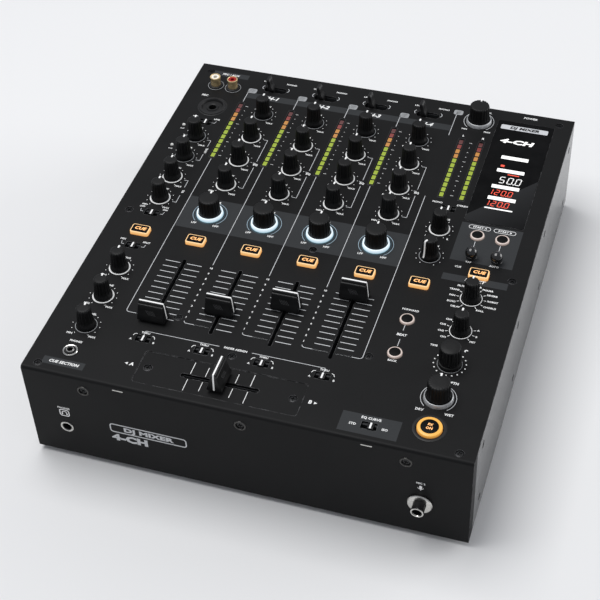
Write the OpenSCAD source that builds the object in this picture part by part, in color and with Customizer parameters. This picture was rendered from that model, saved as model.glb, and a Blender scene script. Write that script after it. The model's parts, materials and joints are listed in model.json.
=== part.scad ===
// Four channel club mixer: folded steel case, rotary and fader controls, sockets and insides.
// Origin at the centre of the footprint, on the surface that the feet stand on.
// +X is the player's right, +Y points to the rear panel and +Z is up.

/* [Case] */
// Width of the case
case_w = 320; // [316:1:336]
// Depth of the case, from the front panel to the rear panel
case_d = 368; // [366:1:380]
// Height of the case without its feet
case_h = 84; // [80:1:100]
// Thickness of the folded sheet steel
sheet_t = 1.5; // [1.2:0.1:1.6]
// Outer radius of the fold along the front edge
fold_r = 2.5; // [2:0.1:4]
// Depth of the front panel's folded side returns
return_d = 10; // [8:0.5:14]
// Height of the rubber feet
foot_h = 5; // [3:0.5:8]
// Radius of the rubber feet
foot_r = 10; // [7:0.5:13]

/* [Channel strips] */
// Distance between two channel strips
channel_pitch = 43.8; // [43:0.1:44]
// First channel's distance from the left edge
first_channel = 72.7; // [72:0.1:73.5]
// First knob row's distance from the rear edge
first_row = 55.5; // [54:0.5:57]
// Distance between the gain, high, mid and low rows
row_pitch = 30.7; // [30:0.1:31]
// Filter row's distance from the rear edge
filter_row = 183.7; // [182:0.1:185]
// Cue button row's distance from the rear edge
cue_row = 216.2; // [213:0.1:217]

/* [Knobs] */
// Radius of a small knob's flared foot
knob_r = 7; // [6.5:0.1:7.4]
// Height of a knob above the panel
knob_h = 17.3; // [15:0.1:19]
// Radius of a large knob's foot
big_knob_r = 8.5; // [8:0.1:8.6]
// Outer radius of the ring around a large knob
ring_r = 10.4; // [10:0.1:11]
// Height of the ring around a large knob
ring_h = 3; // [2:0.5:4]
// Radius of the spindle under every knob
spindle_r = 3; // [2.5:0.1:3]
// Gap between a knob and the panel
knob_gap = 0.7; // [0.5:0.1:1.5]

/* [Faders] */
// Travel of a channel fader
fader_travel = 60; // [50:1:60]
// Travel of the crossfader
cross_travel = 45; // [40:1:45]
// Width of a fader cap
cap_w = 20.8; // [18:0.2:22]
// Depth of a fader cap at its foot
cap_d = 11; // [9:0.2:12]
// Height of a fader cap
cap_h = 15; // [12:0.5:16]
// Gap between a fader cap and the panel
cap_gap = 2; // [1.5:0.5:3]
// Resting place of each channel fader, from 0 at the bottom to 1 at the top
fader_rest = [0, 0.31, 0.59, 0.98]; // [0:0.01:1]

/* [Buttons and switches] */
// Size of a cue button
cue_size = [14.6, 9.2]; // [8:0.1:16]
// Height of a cue button above the panel
cue_h = 3; // [3:0.5:5]
// Travel of every push button
push_travel = 0.8; // [0.5:0.1:1.2]
// Tilt of an input selector lever at rest
lever_tilt = 12; // [8:1:14]
// Height of an input selector lever above the panel
lever_h = 12.5; // [10:0.5:14]
// Travel of a slide switch to each side
slide_travel = 2; // [1.5:0.1:2]

/* [Sockets] */
// Bore radius of a 6.35 mm jack socket
jack_bore_r = 3.2; // [3.19:0.01:3.25]
// Bore radius of the 3.5 mm jack socket
mini_bore_r = 1.8; // [1.77:0.01:1.85]
// Outer radius of a phono socket's barrel
phono_r = 4.15; // [4.1:0.01:4.2]
// Length of a phono socket's barrel
phono_l = 9; // [8:0.5:10]

/* [Hidden] */
$fn = 48;
top_z = foot_h + case_h;
under_z = top_z - sheet_t;
floor_z = foot_h + sheet_t;
front_y = -case_d / 2;
rear_y = case_d / 2;
eps = 0.05;

function at_x(from_left) = from_left - case_w / 2;
function at_y(from_rear) = case_d / 2 - from_rear;

// Columns and rows of the control panel
mic_x = at_x(28.6);
master_x = at_x(245.3);
effect_x = at_x(284.6);
channels = [0:3];
function channel_x(c) = at_x(first_channel + c * channel_pitch);
fader_top_y = at_y(240.5);
fader_mid_y = fader_top_y - fader_travel / 2;
function fader_y(c) = fader_top_y - (1 - fader_rest[c]) * fader_travel;
cross_x = at_x(138.6);
cross_y = at_y(345.3);
selector_y = at_y(21.5);
assign_y = at_y(321);

// Knobs as [name, x, y, style]
ROW_NAMES = ["gain", "high", "mid", "low"];
channel_knobs = [
    for (c = channels)
    for (r = [0:3])
    [str(ROW_NAMES[r], "_knob_", c + 1), channel_x(c), at_y(first_row + r * row_pitch), "small"]
];
filter_knobs = [
    for (c = channels) [str("filter_knob_", c + 1), channel_x(c), at_y(filter_row), "big"]
];
side_knobs = [
    ["mic_level_knob", mic_x, at_y(96.7), "small"],
    ["aux_level_knob", mic_x, at_y(123), "small"],
    ["mic_high_knob", mic_x, at_y(149.4), "small"],
    ["mic_low_knob", mic_x, at_y(175.8), "small"],
    ["phones_mix_knob", mic_x, at_y(257.5), "small"],
    ["phones_tone_knob", mic_x, at_y(288.2), "small"],
    ["phones_level_knob", mic_x, at_y(319), "small"],
    ["master_level_knob", master_x, at_y(19.3), "big"],
    ["balance_knob", master_x, at_y(154.5), "small"],
    ["booth_level_knob", master_x, at_y(185), "turned"],
    ["effect_select_knob", effect_x, at_y(220.8), "small"],
    ["effect_channel_knob", effect_x, at_y(254), "small"],
    ["time_encoder", effect_x, at_y(286.5), "ribbed"],
    ["effect_depth_knob", effect_x, at_y(318.8), "big"]
];
knobs = concat(channel_knobs, filter_knobs, side_knobs);
big_knobs = [for (k = knobs) if (k[3] == "big") k];

// Places of the push buttons and switches
cue_spots = concat(
    [for (c = channels) [channel_x(c) + 0.6, at_y(cue_row)]],
    [[mic_x, at_y(cue_row)], [master_x, at_y(cue_row)], [effect_x, at_y(cue_row - 20)]]
);
round_r = 5.3;
round_spots = [
    [effect_x - 10.3, at_y(154.9)],
    [effect_x + 8.6, at_y(155.3)],
    [master_x + 0.7, at_y(253.4)],
    [master_x + 0.7, at_y(286.9)]
];
fx_on_spot = [effect_x + 0.6, at_y(346)];
fx_on_r = 8.6;
fx_on_h = 2;
round_h = 1.5;
toggle_spots = [[effect_x - 9.4, at_y(178.5)], [effect_x + 9.4, at_y(178.5)]];
toggle_tilt = 20;
curve_offset = 1.2;
curve_spot = [at_x(246.5), at_y(355)];
slide_spots = concat(
    [for (c = channels) [channel_x(c), assign_y]],
    [[mic_x + 1, at_y(77)], [mic_x, at_y(194)], [mic_x, at_y(232.5)], [master_x + 1, at_y(130.5)]]
);
slide_slot = [7 + 2 * slide_travel, 6.5];
slide_cap = [4.2, 5.6];

// Lights and windows
meter_xs = concat(
    [for (c = channels) channel_x(c) - 22.5],
    [at_x(237.3), at_x(253.3)]
);
meter_y = at_y(82);
meter_l = 74;
meter_w = 4.4;
window_size = [45.3, 126.5];
window_spot = [at_x(283.35), at_y(76.25)];
clip_spots = [[at_x(14), at_y(85.5)], [at_x(14), at_y(112.5)]];

// Sockets
combo_spot = [mic_x - 0.5, at_y(56)];
combo_r = 11.2;
combo_l = 26;
mini_spot = [mic_x - 0.5, at_y(345.5)];
aux_spots = [[at_x(20.8), at_y(27)], [at_x(36), at_y(27)]];
front_jack_z = foot_h + 28.5;
mic_jack_z = foot_h + 32.2;
front_jack_xs = [at_x(26.9), at_x(285.5)];
jack_l = 26;
mic_barrel = 9;
rear_phono_xs = [for (c = channels) for (s = [-1, 1]) at_x(58 + c * 34) + s * 7];
rear_phono_zs = [foot_h + 24, foot_h + 50];
rear_jack_xs = [at_x(190), at_x(208)];
rear_jack_zs = [foot_h + 24, foot_h + 50];
xlr_spots = [[at_x(232), foot_h + 56], [at_x(232), foot_h + 26]];
inlet_spot = [at_x(285), foot_h + 24];
inlet_size = [27, 20];
inlet_hole = [24.4, 16.4];
inlet_d = 16;
rocker_spot = [at_x(285), foot_h + 56];
rocker_size = [22, 18.4];
rocker_w = 16;
rocker_tilt = 6;
rocker_pin_r = 1.2;
ground_xs = [at_x(24), at_x(36)];
ground_z = foot_h + 50;

// Fasteners
panel_screws = [
    [at_x(10.5), at_y(9.5)], [at_x(10.5), at_y(195)], [at_x(10.5), at_y(361.5)],
    [at_x(89), at_y(294.5)], [at_x(229.5), at_y(294.5)], [at_x(138.5), at_y(320)],
    [at_x(160.5), at_y(201.5)], [at_x(309), at_y(8.5)], [at_x(309), at_y(196)],
    [at_x(309), at_y(361.5)]
];
front_screw_xs = [at_x(45.6), at_x(160.4), at_x(275.2)];
front_screw_z = top_z - 12.4;
side_screw_ys = [front_y + 30, -40, 60, rear_y - 20];
side_screw_zs = [top_z - 14, foot_h + 14];
head_r = 2.9;
head_gap = 0.1;
head_h = 1.2;
cross_screw_dx = 52.5;

// Crossfader plate
cross_plate = [118.5, 29.7];
cross_corner = 2.5;
cross_drop = 0.4;
cross_flange = 3;

// Boards and units under the panel
board_z = top_z - 24;
board_t = 1.6;
pot_size = [11, 10, 7];
bushing_r = 3.5;
running_gap = 0.06;
spindle_l = 5;
fader_unit = [9, 10];
fader_slot_w = 2.8;
stem = [1.6, 5];
pivot_drop = 13;
pivot_r = 1.5;
selector_slot = [19, 6.8];
selector_box = [24, 12, 18];
selector_stem = [4, 5];
lever_size = [4.4, 8];
supply_size = [92, 56, 30];

// ---- Shared shapes ----

module rounded(size, r) {
    half = [size[0] / 2 - r, size[1] / 2 - r];
    square([size[0], size[1] - 2 * r], center = true);
    square([size[0] - 2 * r, size[1]], center = true);
    for (x = [-1, 1])
        for (y = [-1, 1])
            translate([x * half[0], y * half[1]]) circle(r);
}

module slab(spot, size, r, z0, z1) {
    translate([spot[0], spot[1], z0]) linear_extrude(z1 - z0) rounded(size, r);
}

module disc(spot, r, z0, z1) {
    translate([spot[0], spot[1], z0]) cylinder(h = z1 - z0, r = r);
}

module block(spot, size, z0, z1) {
    translate([spot[0] - size[0] / 2, spot[1] - size[1] / 2, z0])
        cube([size[0], size[1], z1 - z0]);
}

// A cylinder that points out of the front panel (dir -1) or the rear panel (dir 1)
module bar(x, z, r, from_y, length, dir) {
    translate([x, from_y, z]) rotate([-90 * dir, 0, 0]) cylinder(h = length, r = r);
}

// ---- Case ----

module cover_profile() {
    difference() {
        union() {
            translate([front_y + fold_r, foot_h]) square([case_d - fold_r, case_h]);
            translate([front_y, foot_h]) square([fold_r + 1, case_h - fold_r]);
            translate([front_y + fold_r, top_z - fold_r]) circle(fold_r);
        }
        inner_r = fold_r - sheet_t;
        translate([front_y + fold_r, 0]) square([case_d + 1, under_z]);
        translate([front_y + sheet_t, 0]) square([fold_r + 1, top_z - fold_r]);
        translate([front_y + fold_r, top_z - fold_r]) circle(inner_r);
    }
}

module panel_openings() {
    low = under_z - 1;
    high = top_z + 1;
    for (k = knobs) disc([k[1], k[2]], bushing_r + eps, low, high);
    for (c = channels) {
        slab([channel_x(c), fader_mid_y], [fader_slot_w, fader_travel + 7], 1.3, low, high);
        slab([channel_x(c) - 0.9, selector_y], selector_slot, 3, low, high);
    }
    slab([cross_x, cross_y], cross_plate, cross_corner, low, high);
    for (s = cue_spots) slab(s, cue_size + [0.6, 0.6], 2, low, high);
    for (s = round_spots) disc(s, round_r + 0.3, low, high);
    disc(fx_on_spot, fx_on_r + 0.3, low, high);
    for (s = toggle_spots) disc(s, 3 + eps, low, high);
    for (s = slide_spots) slab(s, slide_slot, 1, low, high);
    slab(curve_spot, slide_slot, 1, low, high);
    for (x = meter_xs) slab([x, meter_y], [meter_w, meter_l], 2.1, low, high);
    slab(window_spot, window_size, 1.5, low, high);
    for (s = clip_spots) disc(s, 1.25 + eps, low, high);
    disc(combo_spot, combo_r - 1, low, high);
    disc(mini_spot, 3, low, high);
    for (s = aux_spots) disc(s, 5, low, high);
    for (s = panel_screws) disc(s, head_r + head_gap, low, high);
}

module top_cover() {
    color("#2b2c2e")
    difference() {
        union() {
            translate([-case_w / 2, 0, 0])
                rotate([90, 0, 90]) linear_extrude(case_w) cover_profile();
            for (s = [-1, 1])
                translate([s * (case_w - sheet_t) / 2 - sheet_t / 2, front_y + sheet_t / 2, foot_h])
                    cube([sheet_t, return_d - sheet_t / 2, case_h - sheet_t / 2]);
        }
        panel_openings();
        for (x = front_screw_xs)
            bar(x, front_screw_z, head_r + head_gap, front_y + 4, 6, -1);
        bar(front_jack_xs[0], front_jack_z, 4.6, front_y + 4, 6, -1);
        bar(front_jack_xs[1], mic_jack_z, 4.6, front_y + 4, 6, -1);
    }
}

module base_chassis() {
    side_y = front_y + return_d + 0.6;
    color("#26272a")
    difference() {
        translate([-case_w / 2, side_y, foot_h])
            cube([case_w, rear_y - side_y, under_z - foot_h]);
        translate([-case_w / 2 + sheet_t, side_y - 1, floor_z])
            cube([case_w - 2 * sheet_t, rear_y - side_y - sheet_t + 1, case_h]);
        for (x = rear_phono_xs)
            for (z = rear_phono_zs)
                bar(x, z, 5, rear_y - 4, 6, 1);
        for (x = rear_jack_xs)
            for (z = rear_jack_zs)
                bar(x, z, 4.6, rear_y - 4, 6, 1);
        for (s = xlr_spots) bar(s[0], s[1], 10.5, rear_y - 4, 6, 1);
        for (x = ground_xs) bar(x, ground_z, 2, rear_y - 4, 6, 1);
        translate([inlet_spot[0], rear_y - 2, inlet_spot[1]])
            cube([inlet_size[0], 6, inlet_size[1]], center = true);
        translate([rocker_spot[0], rear_y - 2, rocker_spot[1]])
            cube([rocker_size[0], 6, rocker_size[1]], center = true);
        for (s = [-1, 1])
            for (y = side_screw_ys)
                for (z = side_screw_zs)
                    translate([s * case_w / 2, y, z])
                        rotate([0, 90, 0])
                            cylinder(h = 8, r = head_r + head_gap, center = true);
    }
    color("#26272a")
        translate([-case_w / 2 + sheet_t, front_y + sheet_t, foot_h])
            cube([case_w - 2 * sheet_t, return_d + 0.6 - sheet_t, sheet_t]);
}

module crossfader_plate() {
    top = top_z - cross_drop;
    color("#1f2022")
    difference() {
        union() {
            slab([cross_x, cross_y], cross_plate - [0.3, 0.3], cross_corner, under_z - 0.5, top);
            slab([cross_x, cross_y], cross_plate + [2, 2] * cross_flange, cross_corner,
                under_z - 1.2, under_z);
        }
        slab([cross_x, cross_y], [cross_travel + 11.5, 3.6], 1.6, under_z - 3, top_z);
        for (s = [-1, 1])
            disc([cross_x + s * cross_screw_dx, cross_y], head_r + head_gap, under_z - 3, top_z);
    }
}

module feet() {
    inset = 26;
    color("#141414")
    for (x = [-1, 1])
        for (y = [-1, 1])
            translate([x * (case_w / 2 - inset), y * (case_d / 2 - inset), 0])
                cylinder(h = foot_h, r = foot_r);
}

// One screw with a cross recess, head up at the origin
module screw() {
    difference() {
        union() {
            translate([0, 0, -head_h]) cylinder(h = head_h, r = head_r);
            translate([0, 0, -7]) cylinder(h = 7 - head_h, r = 1.4);
        }
        for (a = [0, 90])
            rotate([0, 0, a]) translate([-1.6, -0.35, -0.8]) cube([3.2, 0.7, 1]);
    }
}

module case_screws() {
    color("#3a3a3c") {
        for (s = panel_screws) translate([s[0], s[1], top_z - 0.3]) screw();
        for (s = [-1, 1])
            translate([cross_x + s * cross_screw_dx, cross_y, top_z - cross_drop - 0.2]) screw();
        for (x = front_screw_xs)
            translate([x, front_y + 0.3, front_screw_z]) rotate([90, 0, 0]) screw();
        for (s = [-1, 1])
            for (y = side_screw_ys)
                for (z = side_screw_zs)
                    translate([s * (case_w / 2 - 0.3), y, z]) rotate([0, s * 90, 0]) screw();
    }
}

// ---- Lights and window ----

module display_window() {
    color("#0a0a0c")
    slab(window_spot, window_size - [0.2, 0.2], 1.4, under_z, top_z + 0.2);
}

module meter_lenses() {
    color("#11140f") {
        for (x = meter_xs)
            slab([x, meter_y], [meter_w - 2 * eps, meter_l - 2 * eps], 2, board_z, top_z - 0.3);
        for (s = clip_spots) disc(s, 1.25, board_z, top_z + 0.8);
    }
}

module light_rings() {
    color("#a9d6ea")
    for (k = big_knobs)
        translate([k[1], k[2], top_z])
            difference() {
                cylinder(h = ring_h, r1 = ring_r, r2 = ring_r - 0.5);
                translate([0, 0, -1]) cylinder(h = ring_h + 2, r = big_knob_r + 0.5);
            }
}

// ---- Sockets ----

// A phono socket: barrel with a coloured insert, mouth up at z = 0
module phono() {
    difference() {
        union() {
            translate([0, 0, -phono_l]) cylinder(h = phono_l, r = phono_r);
            translate([0, 0, -phono_l]) cylinder(h = 1.2, r = 5.8);
            translate([0, 0, -phono_l - 8]) cylinder(h = 8, r = 4.9);
        }
        translate([0, 0, -phono_l + 1]) cylinder(h = phono_l, r = phono_r - 0.75);
    }
    translate([0, 0, -phono_l + 0.5])
        difference() {
            cylinder(h = phono_l - 1.2, r = phono_r - 0.95);
            cylinder(h = phono_l + 2, r = 1.6);
        }
}

// A 6.35 mm jack socket, mouth up at z = 0, standing proud of the panel
module jack(proud, nut_r) {
    difference() {
        union() {
            translate([0, 0, -proud - sheet_t]) cylinder(h = proud + sheet_t, r = 4.5);
            translate([0, 0, -proud]) cylinder(h = min(proud, 2.2), r = nut_r);
            translate([-7, -6, -proud - sheet_t - jack_l]) cube([14, 12, jack_l]);
        }
        translate([0, 0, -jack_l + 2]) cylinder(h = jack_l, r = jack_bore_r);
    }
}

module combo_socket() {
    pin_circle = 5.6;
    difference() {
        union() {
            cylinder(h = 1, r = combo_r);
            translate([0, 0, -combo_l]) cylinder(h = combo_l, r = combo_r - 1.1);
        }
        translate([0, 0, 1 - 22]) cylinder(h = 23, r = jack_bore_r);
        for (a = [30, 150, 270])
            rotate([0, 0, a]) translate([pin_circle + 1, 0, -11]) cylinder(h = 13, r = 1.3);
    }
}

module mini_socket() {
    difference() {
        union() {
            cylinder(h = 1.6, r = 5, $fn = 6);
            translate([0, 0, -sheet_t]) cylinder(h = sheet_t + 2.2, r = 2.95);
            translate([-5, -6, -sheet_t - 12]) cube([10, 12, 12]);
        }
        translate([0, 0, -11]) cylinder(h = 14, r = mini_bore_r);
    }
}

// A male three pin output, mouth up at z = 0
module xlr() {
    shell_d = 16;
    difference() {
        union() {
            translate([0, 0, -2]) linear_extrude(2) rounded([26, 28], 3);
            translate([0, 0, -shell_d - 4]) cylinder(h = shell_d + 3, r = 10.3);
        }
        translate([0, 0, -shell_d]) cylinder(h = shell_d + 1, r = 8.4);
    }
    for (a = [30, 150, 270])
        rotate([0, 0, a]) translate([4, 0, -shell_d - 1]) cylinder(h = 11.5, r = 1.15);
}

module inlet() {
    difference() {
        union() {
            translate([0, 0, 0.6]) cube([30.6, 23.6, 1.2], center = true);
            translate([0, 0, -10]) cube([26.8, 19.8, 20], center = true);
        }
        translate([0, 0, 2 - inlet_d]) translate([-inlet_hole[0] / 2, -inlet_hole[1] / 2, 0])
            cube([inlet_hole[0], inlet_hole[1], inlet_d + 2]);
    }
    for (p = [[-7, -2], [7, -2], [0, 2]])
        translate([p[0], p[1], 1 - inlet_d]) translate([-1, -2, 0]) cube([2, 4, 11]);
}

module sockets() {
    color("#c9a75a") {
        for (s = aux_spots) translate([s[0], s[1], top_z + phono_l]) phono();
        for (x = rear_phono_xs)
            for (z = rear_phono_zs)
                translate([x, rear_y + phono_l, z]) rotate([-90, 0, 0]) phono();
        for (x = ground_xs) bar(x, ground_z, 1.9, rear_y - 8, 17, 1);
        for (x = ground_xs)
            difference() {
                bar(x, ground_z, 4.2, rear_y, 7, 1);
                bar(x, ground_z, 1.9, rear_y - 1, 9, 1);
            }
    }
    color("#1a1a1c") {
        translate([combo_spot[0], combo_spot[1], top_z]) combo_socket();
        translate([front_jack_xs[0], front_y - 0.8, front_jack_z]) rotate([90, 0, 0]) jack(0.8, 5);
        translate([front_jack_xs[1], front_y - mic_barrel, mic_jack_z])
            rotate([90, 0, 0]) jack(mic_barrel, 8.6);
        for (x = rear_jack_xs)
            for (z = rear_jack_zs)
                translate([x, rear_y + 2, z]) rotate([-90, 0, 0]) jack(2, 6.5);
        for (s = xlr_spots) translate([s[0], rear_y + 2, s[1]]) rotate([-90, 0, 0]) xlr();
        translate([inlet_spot[0], rear_y, inlet_spot[1]]) rotate([-90, 0, 0]) inlet();
    }
    color("#b9bcc0") translate([mini_spot[0], mini_spot[1], top_z]) mini_socket();
}

// ---- Inside ----

// A rotary control: box under the panel, bushing through it and a bore for the spindle
module pot(spot) {
    difference() {
        union() {
            block(spot, pot_size, under_z - pot_size[2], under_z);
            disc(spot, bushing_r, under_z - 1, top_z);
        }
        disc(spot, spindle_r + running_gap, under_z - spindle_l - 1, top_z + 1);
    }
}

module fader_body(spot, travel, turned, top) {
    size = [fader_unit[0], travel + 26];
    hole = [2.6, travel + 8];
    difference() {
        block(spot, turned ? [size[1], size[0]] : size, top - fader_unit[1], top);
        block(spot, turned ? [hole[1], hole[0]] : hole, top - fader_unit[1] + 1.5, top + 1);
    }
}

module selector_body(x) {
    spot = [x - 0.9, selector_y];
    bottom = under_z - selector_box[2];
    difference() {
        block(spot, [selector_box[0], selector_box[1]], bottom, under_z);
        block(spot, [20, selector_stem[1] + 0.8], bottom + 1.5, under_z + 1);
        translate([spot[0], spot[1], top_z - pivot_drop])
            rotate([90, 0, 0]) cylinder(h = 9.6, r = pivot_r + running_gap, center = true);
    }
}

module toggle_body(spot) {
    difference() {
        union() {
            disc(spot, 3, under_z - 2, top_z + 1.2);
            block(spot, [7, 9], under_z - 9, under_z);
        }
        disc(spot, 2.4, under_z - 5, top_z + 2);
    }
}

module slide_body(spot) {
    difference() {
        block(spot, [14, 8], under_z - 6, under_z);
        block(spot, [slide_slot[0], 3], under_z - 4, under_z + 1);
    }
}

module rocker_body() {
    depth = 16;
    translate([rocker_spot[0], rear_y, rocker_spot[1]])
        difference() {
            union() {
                translate([0, 0.6, 0]) cube([25, 1.2, 21], center = true);
                translate([0, -depth / 2, 0])
                    cube([rocker_size[0] - 0.2, depth, rocker_size[1] - 0.2], center = true);
            }
            translate([0, 2 - depth / 2, 0]) cube([rocker_w + 0.8, depth, 15], center = true);
            translate([0, -3, 0]) rotate([0, 90, 0])
                cylinder(h = rocker_w + 4.4, r = rocker_pin_r + running_gap, center = true);
        }
}

module control_bodies() {
    tact_z = under_z - 2 - push_travel - 0.3;
    color("#5b6068") {
        for (k = knobs) pot([k[1], k[2]]);
        for (c = channels) {
            fader_body([channel_x(c), fader_mid_y], fader_travel, false, under_z);
            selector_body(channel_x(c));
        }
        fader_body([cross_x, cross_y], cross_travel, true, under_z - 1.2);
        for (s = concat(cue_spots, round_spots, [fx_on_spot]))
            block(s, [6, 6], board_z, tact_z);
        for (s = toggle_spots) toggle_body(s);
        for (s = slide_spots) slide_body(s);
        slide_body(curve_spot);
        rocker_body();
    }
}

module circuit_board() {
    color("#1f5c33") {
        difference() {
            translate([-case_w / 2 + 6, front_y + 12, board_z - board_t])
                cube([case_w - 12, case_d - 42, board_t]);
            disc(combo_spot, combo_r + 2, board_z - 5, board_z + 5);
        }
        for (x = [-120, 0, 120])
            for (y = [-140, 140])
                disc([x, y], 3, floor_z, board_z - board_t);
        translate([-110, -60, board_z - board_t - 2]) cube([24, 24, 2]);
        translate([20, 10, board_z - board_t - 2]) cube([18, 18, 2]);
    }
    color("#30343a")
        block(window_spot, window_size + [4, 4], under_z - 9, under_z - 0.2);
}

module power_supply() {
    x = at_x(232);
    y = rear_y - 120;
    color("#8f8a5a") translate([x, y, floor_z]) cube([supply_size[0] - 22, supply_size[1], 3]);
    color("#6c6f73") translate([x + 6, y + 6, floor_z + 3]) cube([30, 40, supply_size[2]]);
    color("#2c3e75")
        for (dy = [14, 36])
            disc([x + 54, y + dy], 8, floor_z + 3, floor_z + supply_size[2]);
}

// ---- Moving pieces ----

module knob_shape(foot, grip, top, height) {
    rotate_extrude()
        polygon([
            [0, 0], [foot, 0], [foot, 1.2], [foot - 0.3, 2.2], [grip + 0.3, 3.6], [grip, 4.6],
            [top, height - 0.8], [top - 0.8, height], [0, height]
        ]);
}

module pointer(reach, height) {
    translate([-0.6, reach - 4.4, height - 1.5]) cube([1.2, 4.2, 1.7]);
    translate([-0.6, reach - 0.6, 3]) cube([1.2, 0.9, height - 3.6]);
}

// The encoder's knob, with upright grooves all round and no pointer, as it turns without end
module ribbed_shape(height) {
    grip = big_knob_r - 0.9;
    difference() {
        knob_shape(big_knob_r - 0.3, grip, grip - 0.3, height);
        for (a = [10:20:350])
            rotate([0, 0, a]) translate([grip + 0.3, 0, 4]) cylinder(h = height, r = 0.8, $fn = 12);
    }
}

module control_knob(k) {
    style = k[3];
    height = style == "big" ? knob_h - 1 : knob_h;
    body_h = height - knob_gap;
    turn = style == "turned" ? 150 : 0;
    color("#151617")
    translate([k[1], k[2], top_z + knob_gap])
        rotate([0, 0, turn]) {
            if (style == "big") {
                knob_shape(big_knob_r, big_knob_r - 0.4, big_knob_r - 0.7, body_h);
                pointer(big_knob_r - 0.5, body_h);
            } else if (style == "ribbed") {
                ribbed_shape(body_h);
            } else {
                knob_shape(knob_r, knob_r - 1.2, knob_r - 1.7, body_h);
                pointer(knob_r - 1.4, body_h);
            }
            translate([0, 0, -spindle_l - sheet_t - knob_gap + 0.2])
                cylinder(h = spindle_l + sheet_t + knob_gap + 0.8, r = spindle_r);
        }
}

// Side view of a fader cap, as [across, up] points
module cap_profile() {
    foot = cap_d / 2;
    polygon([
        [-foot, 0], [foot, 0], [foot, 2], [foot - 1.6, 6], [foot - 2.7, 10], [foot - 3.3, cap_h - 1.6],
        [foot - 4.1, cap_h - 1.4], [foot - 4.3, cap_h], [4.3 - foot, cap_h], [4.1 - foot, cap_h - 1.4],
        [3.3 - foot, cap_h - 1.6], [2.7 - foot, 10], [1.6 - foot, 6], [-foot, 2]
    ]);
}

module fader_cap(spot, turn, stem_bottom) {
    color("#121314")
    translate([spot[0], spot[1], top_z + cap_gap])
        rotate([0, 0, turn]) {
            translate([-cap_w / 2, 0, 0]) rotate([90, 0, 90]) linear_extrude(cap_w) cap_profile();
            translate([-stem[0] / 2, -stem[1] / 2, -stem_bottom])
                cube([stem[0], stem[1], stem_bottom + 1]);
        }
}

module channel_fader(c) {
    fader_cap([channel_x(c), fader_y(c)], 0, cap_gap + sheet_t + 6);
}

module crossfader() {
    color("#121314")
    translate([cross_x, cross_y, top_z + cap_gap]) {
        rotate([0, 0, 90])
            translate([-cap_w / 2, 0, 0]) rotate([90, 0, 90]) linear_extrude(cap_w) cap_profile();
        translate([-stem[1] / 2, -stem[0] / 2, -cap_gap - 7.5])
            cube([stem[1], stem[0], cap_gap + 8.5]);
    }
}

module input_selector(c) {
    up = pivot_drop + 1.3;
    color("#101112")
    translate([channel_x(c) - 0.9, selector_y, top_z - pivot_drop])
        rotate([0, -lever_tilt, 0]) {
            rotate([90, 0, 0]) cylinder(h = 9.2, r = pivot_r, center = true);
            translate([-selector_stem[0] / 2, -selector_stem[1] / 2, 0])
                cube([selector_stem[0], selector_stem[1], up + 1]);
            translate([0, 0, up])
                rotate([90, 0, 0])
                    translate([0, 0, -lever_size[1] / 2])
                        linear_extrude(lever_size[1])
                            polygon([
                                [-2.3, 0], [2.3, 0], [2.2, 6], [1.7, lever_h - 2.6],
                                [0.9, lever_h - 1.4], [-0.9, lever_h - 1.4], [-1.7, lever_h - 2.6],
                                [-2.2, 6]
                            ]);
        }
}

module cue_buttons() {
    color("#e8a45a")
    for (s = cue_spots) slab(s, cue_size, 1.8, under_z - 2, top_z + cue_h);
}

module round_buttons() {
    color("#e8dcc8")
    for (s = round_spots) disc(s, round_r, under_z - 2, top_z + round_h);
    color("#f0b030") disc(fx_on_spot, fx_on_r, under_z - 2, top_z + fx_on_h);
}

module effect_toggles() {
    pivot_z = top_z + 0.5;
    color("#2a2a2c")
    for (s = toggle_spots)
        translate([s[0], s[1], pivot_z])
            rotate([toggle_tilt, 0, 0]) {
                sphere(r = 1.6);
                cylinder(h = 6, r1 = 1, r2 = 1.3);
                translate([0, 0, 6.2]) sphere(r = 4.6);
            }
}

module slide_knob(spot) {
    block(spot, slide_cap, top_z - 0.6, top_z + 1);
    block(spot, [2.4, 2.2], under_z - 3, top_z);
}

module slide_switches() {
    color("#0f0f10") {
        for (s = slide_spots) slide_knob(s);
        slide_knob(curve_spot + [curve_offset, 0]);
    }
}

// Rocker at the rear: two faces that meet at a blunt angle, turning on a pin along X
module power_switch() {
    color("#151515")
    translate([rocker_spot[0], rear_y - 3, rocker_spot[1]])
        rotate([-rocker_tilt, 0, 0]) {
            rotate([90, 0, 90])
                translate([0, 0, -rocker_w / 2])
                    linear_extrude(rocker_w)
                        polygon([[5, -6.4], [3.8, 0], [5, 6.4], [-4, 5], [-4, -5]]);
            rotate([0, 90, 0]) cylinder(h = rocker_w + 4, r = rocker_pin_r, center = true);
        }
}

top_cover();
base_chassis();
crossfader_plate();
display_window();
feet();
case_screws();
meter_lenses();
light_rings();
sockets();
control_bodies();
circuit_board();
power_supply();
for (k = knobs) control_knob(k);
for (c = channels) channel_fader(c);
crossfader();
for (c = channels) input_selector(c);
cue_buttons();
round_buttons();
effect_toggles();
slide_switches();
power_switch();
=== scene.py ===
"""Studio model of a four channel club mixer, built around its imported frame.

Sizes are in millimetres in the model's own frame: the origin is at the centre of the footprint, +X is the
player's right, +Y points to the rear panel and +Z is up. Finished pieces are scaled to metres at the end.
"""

from __future__ import annotations

import json
import logging
import math
import sys
from collections.abc import Iterable, Sequence
from dataclasses import dataclass, field
from enum import Enum

import bmesh
import bpy
from mathutils import Euler, Matrix, Vector

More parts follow.
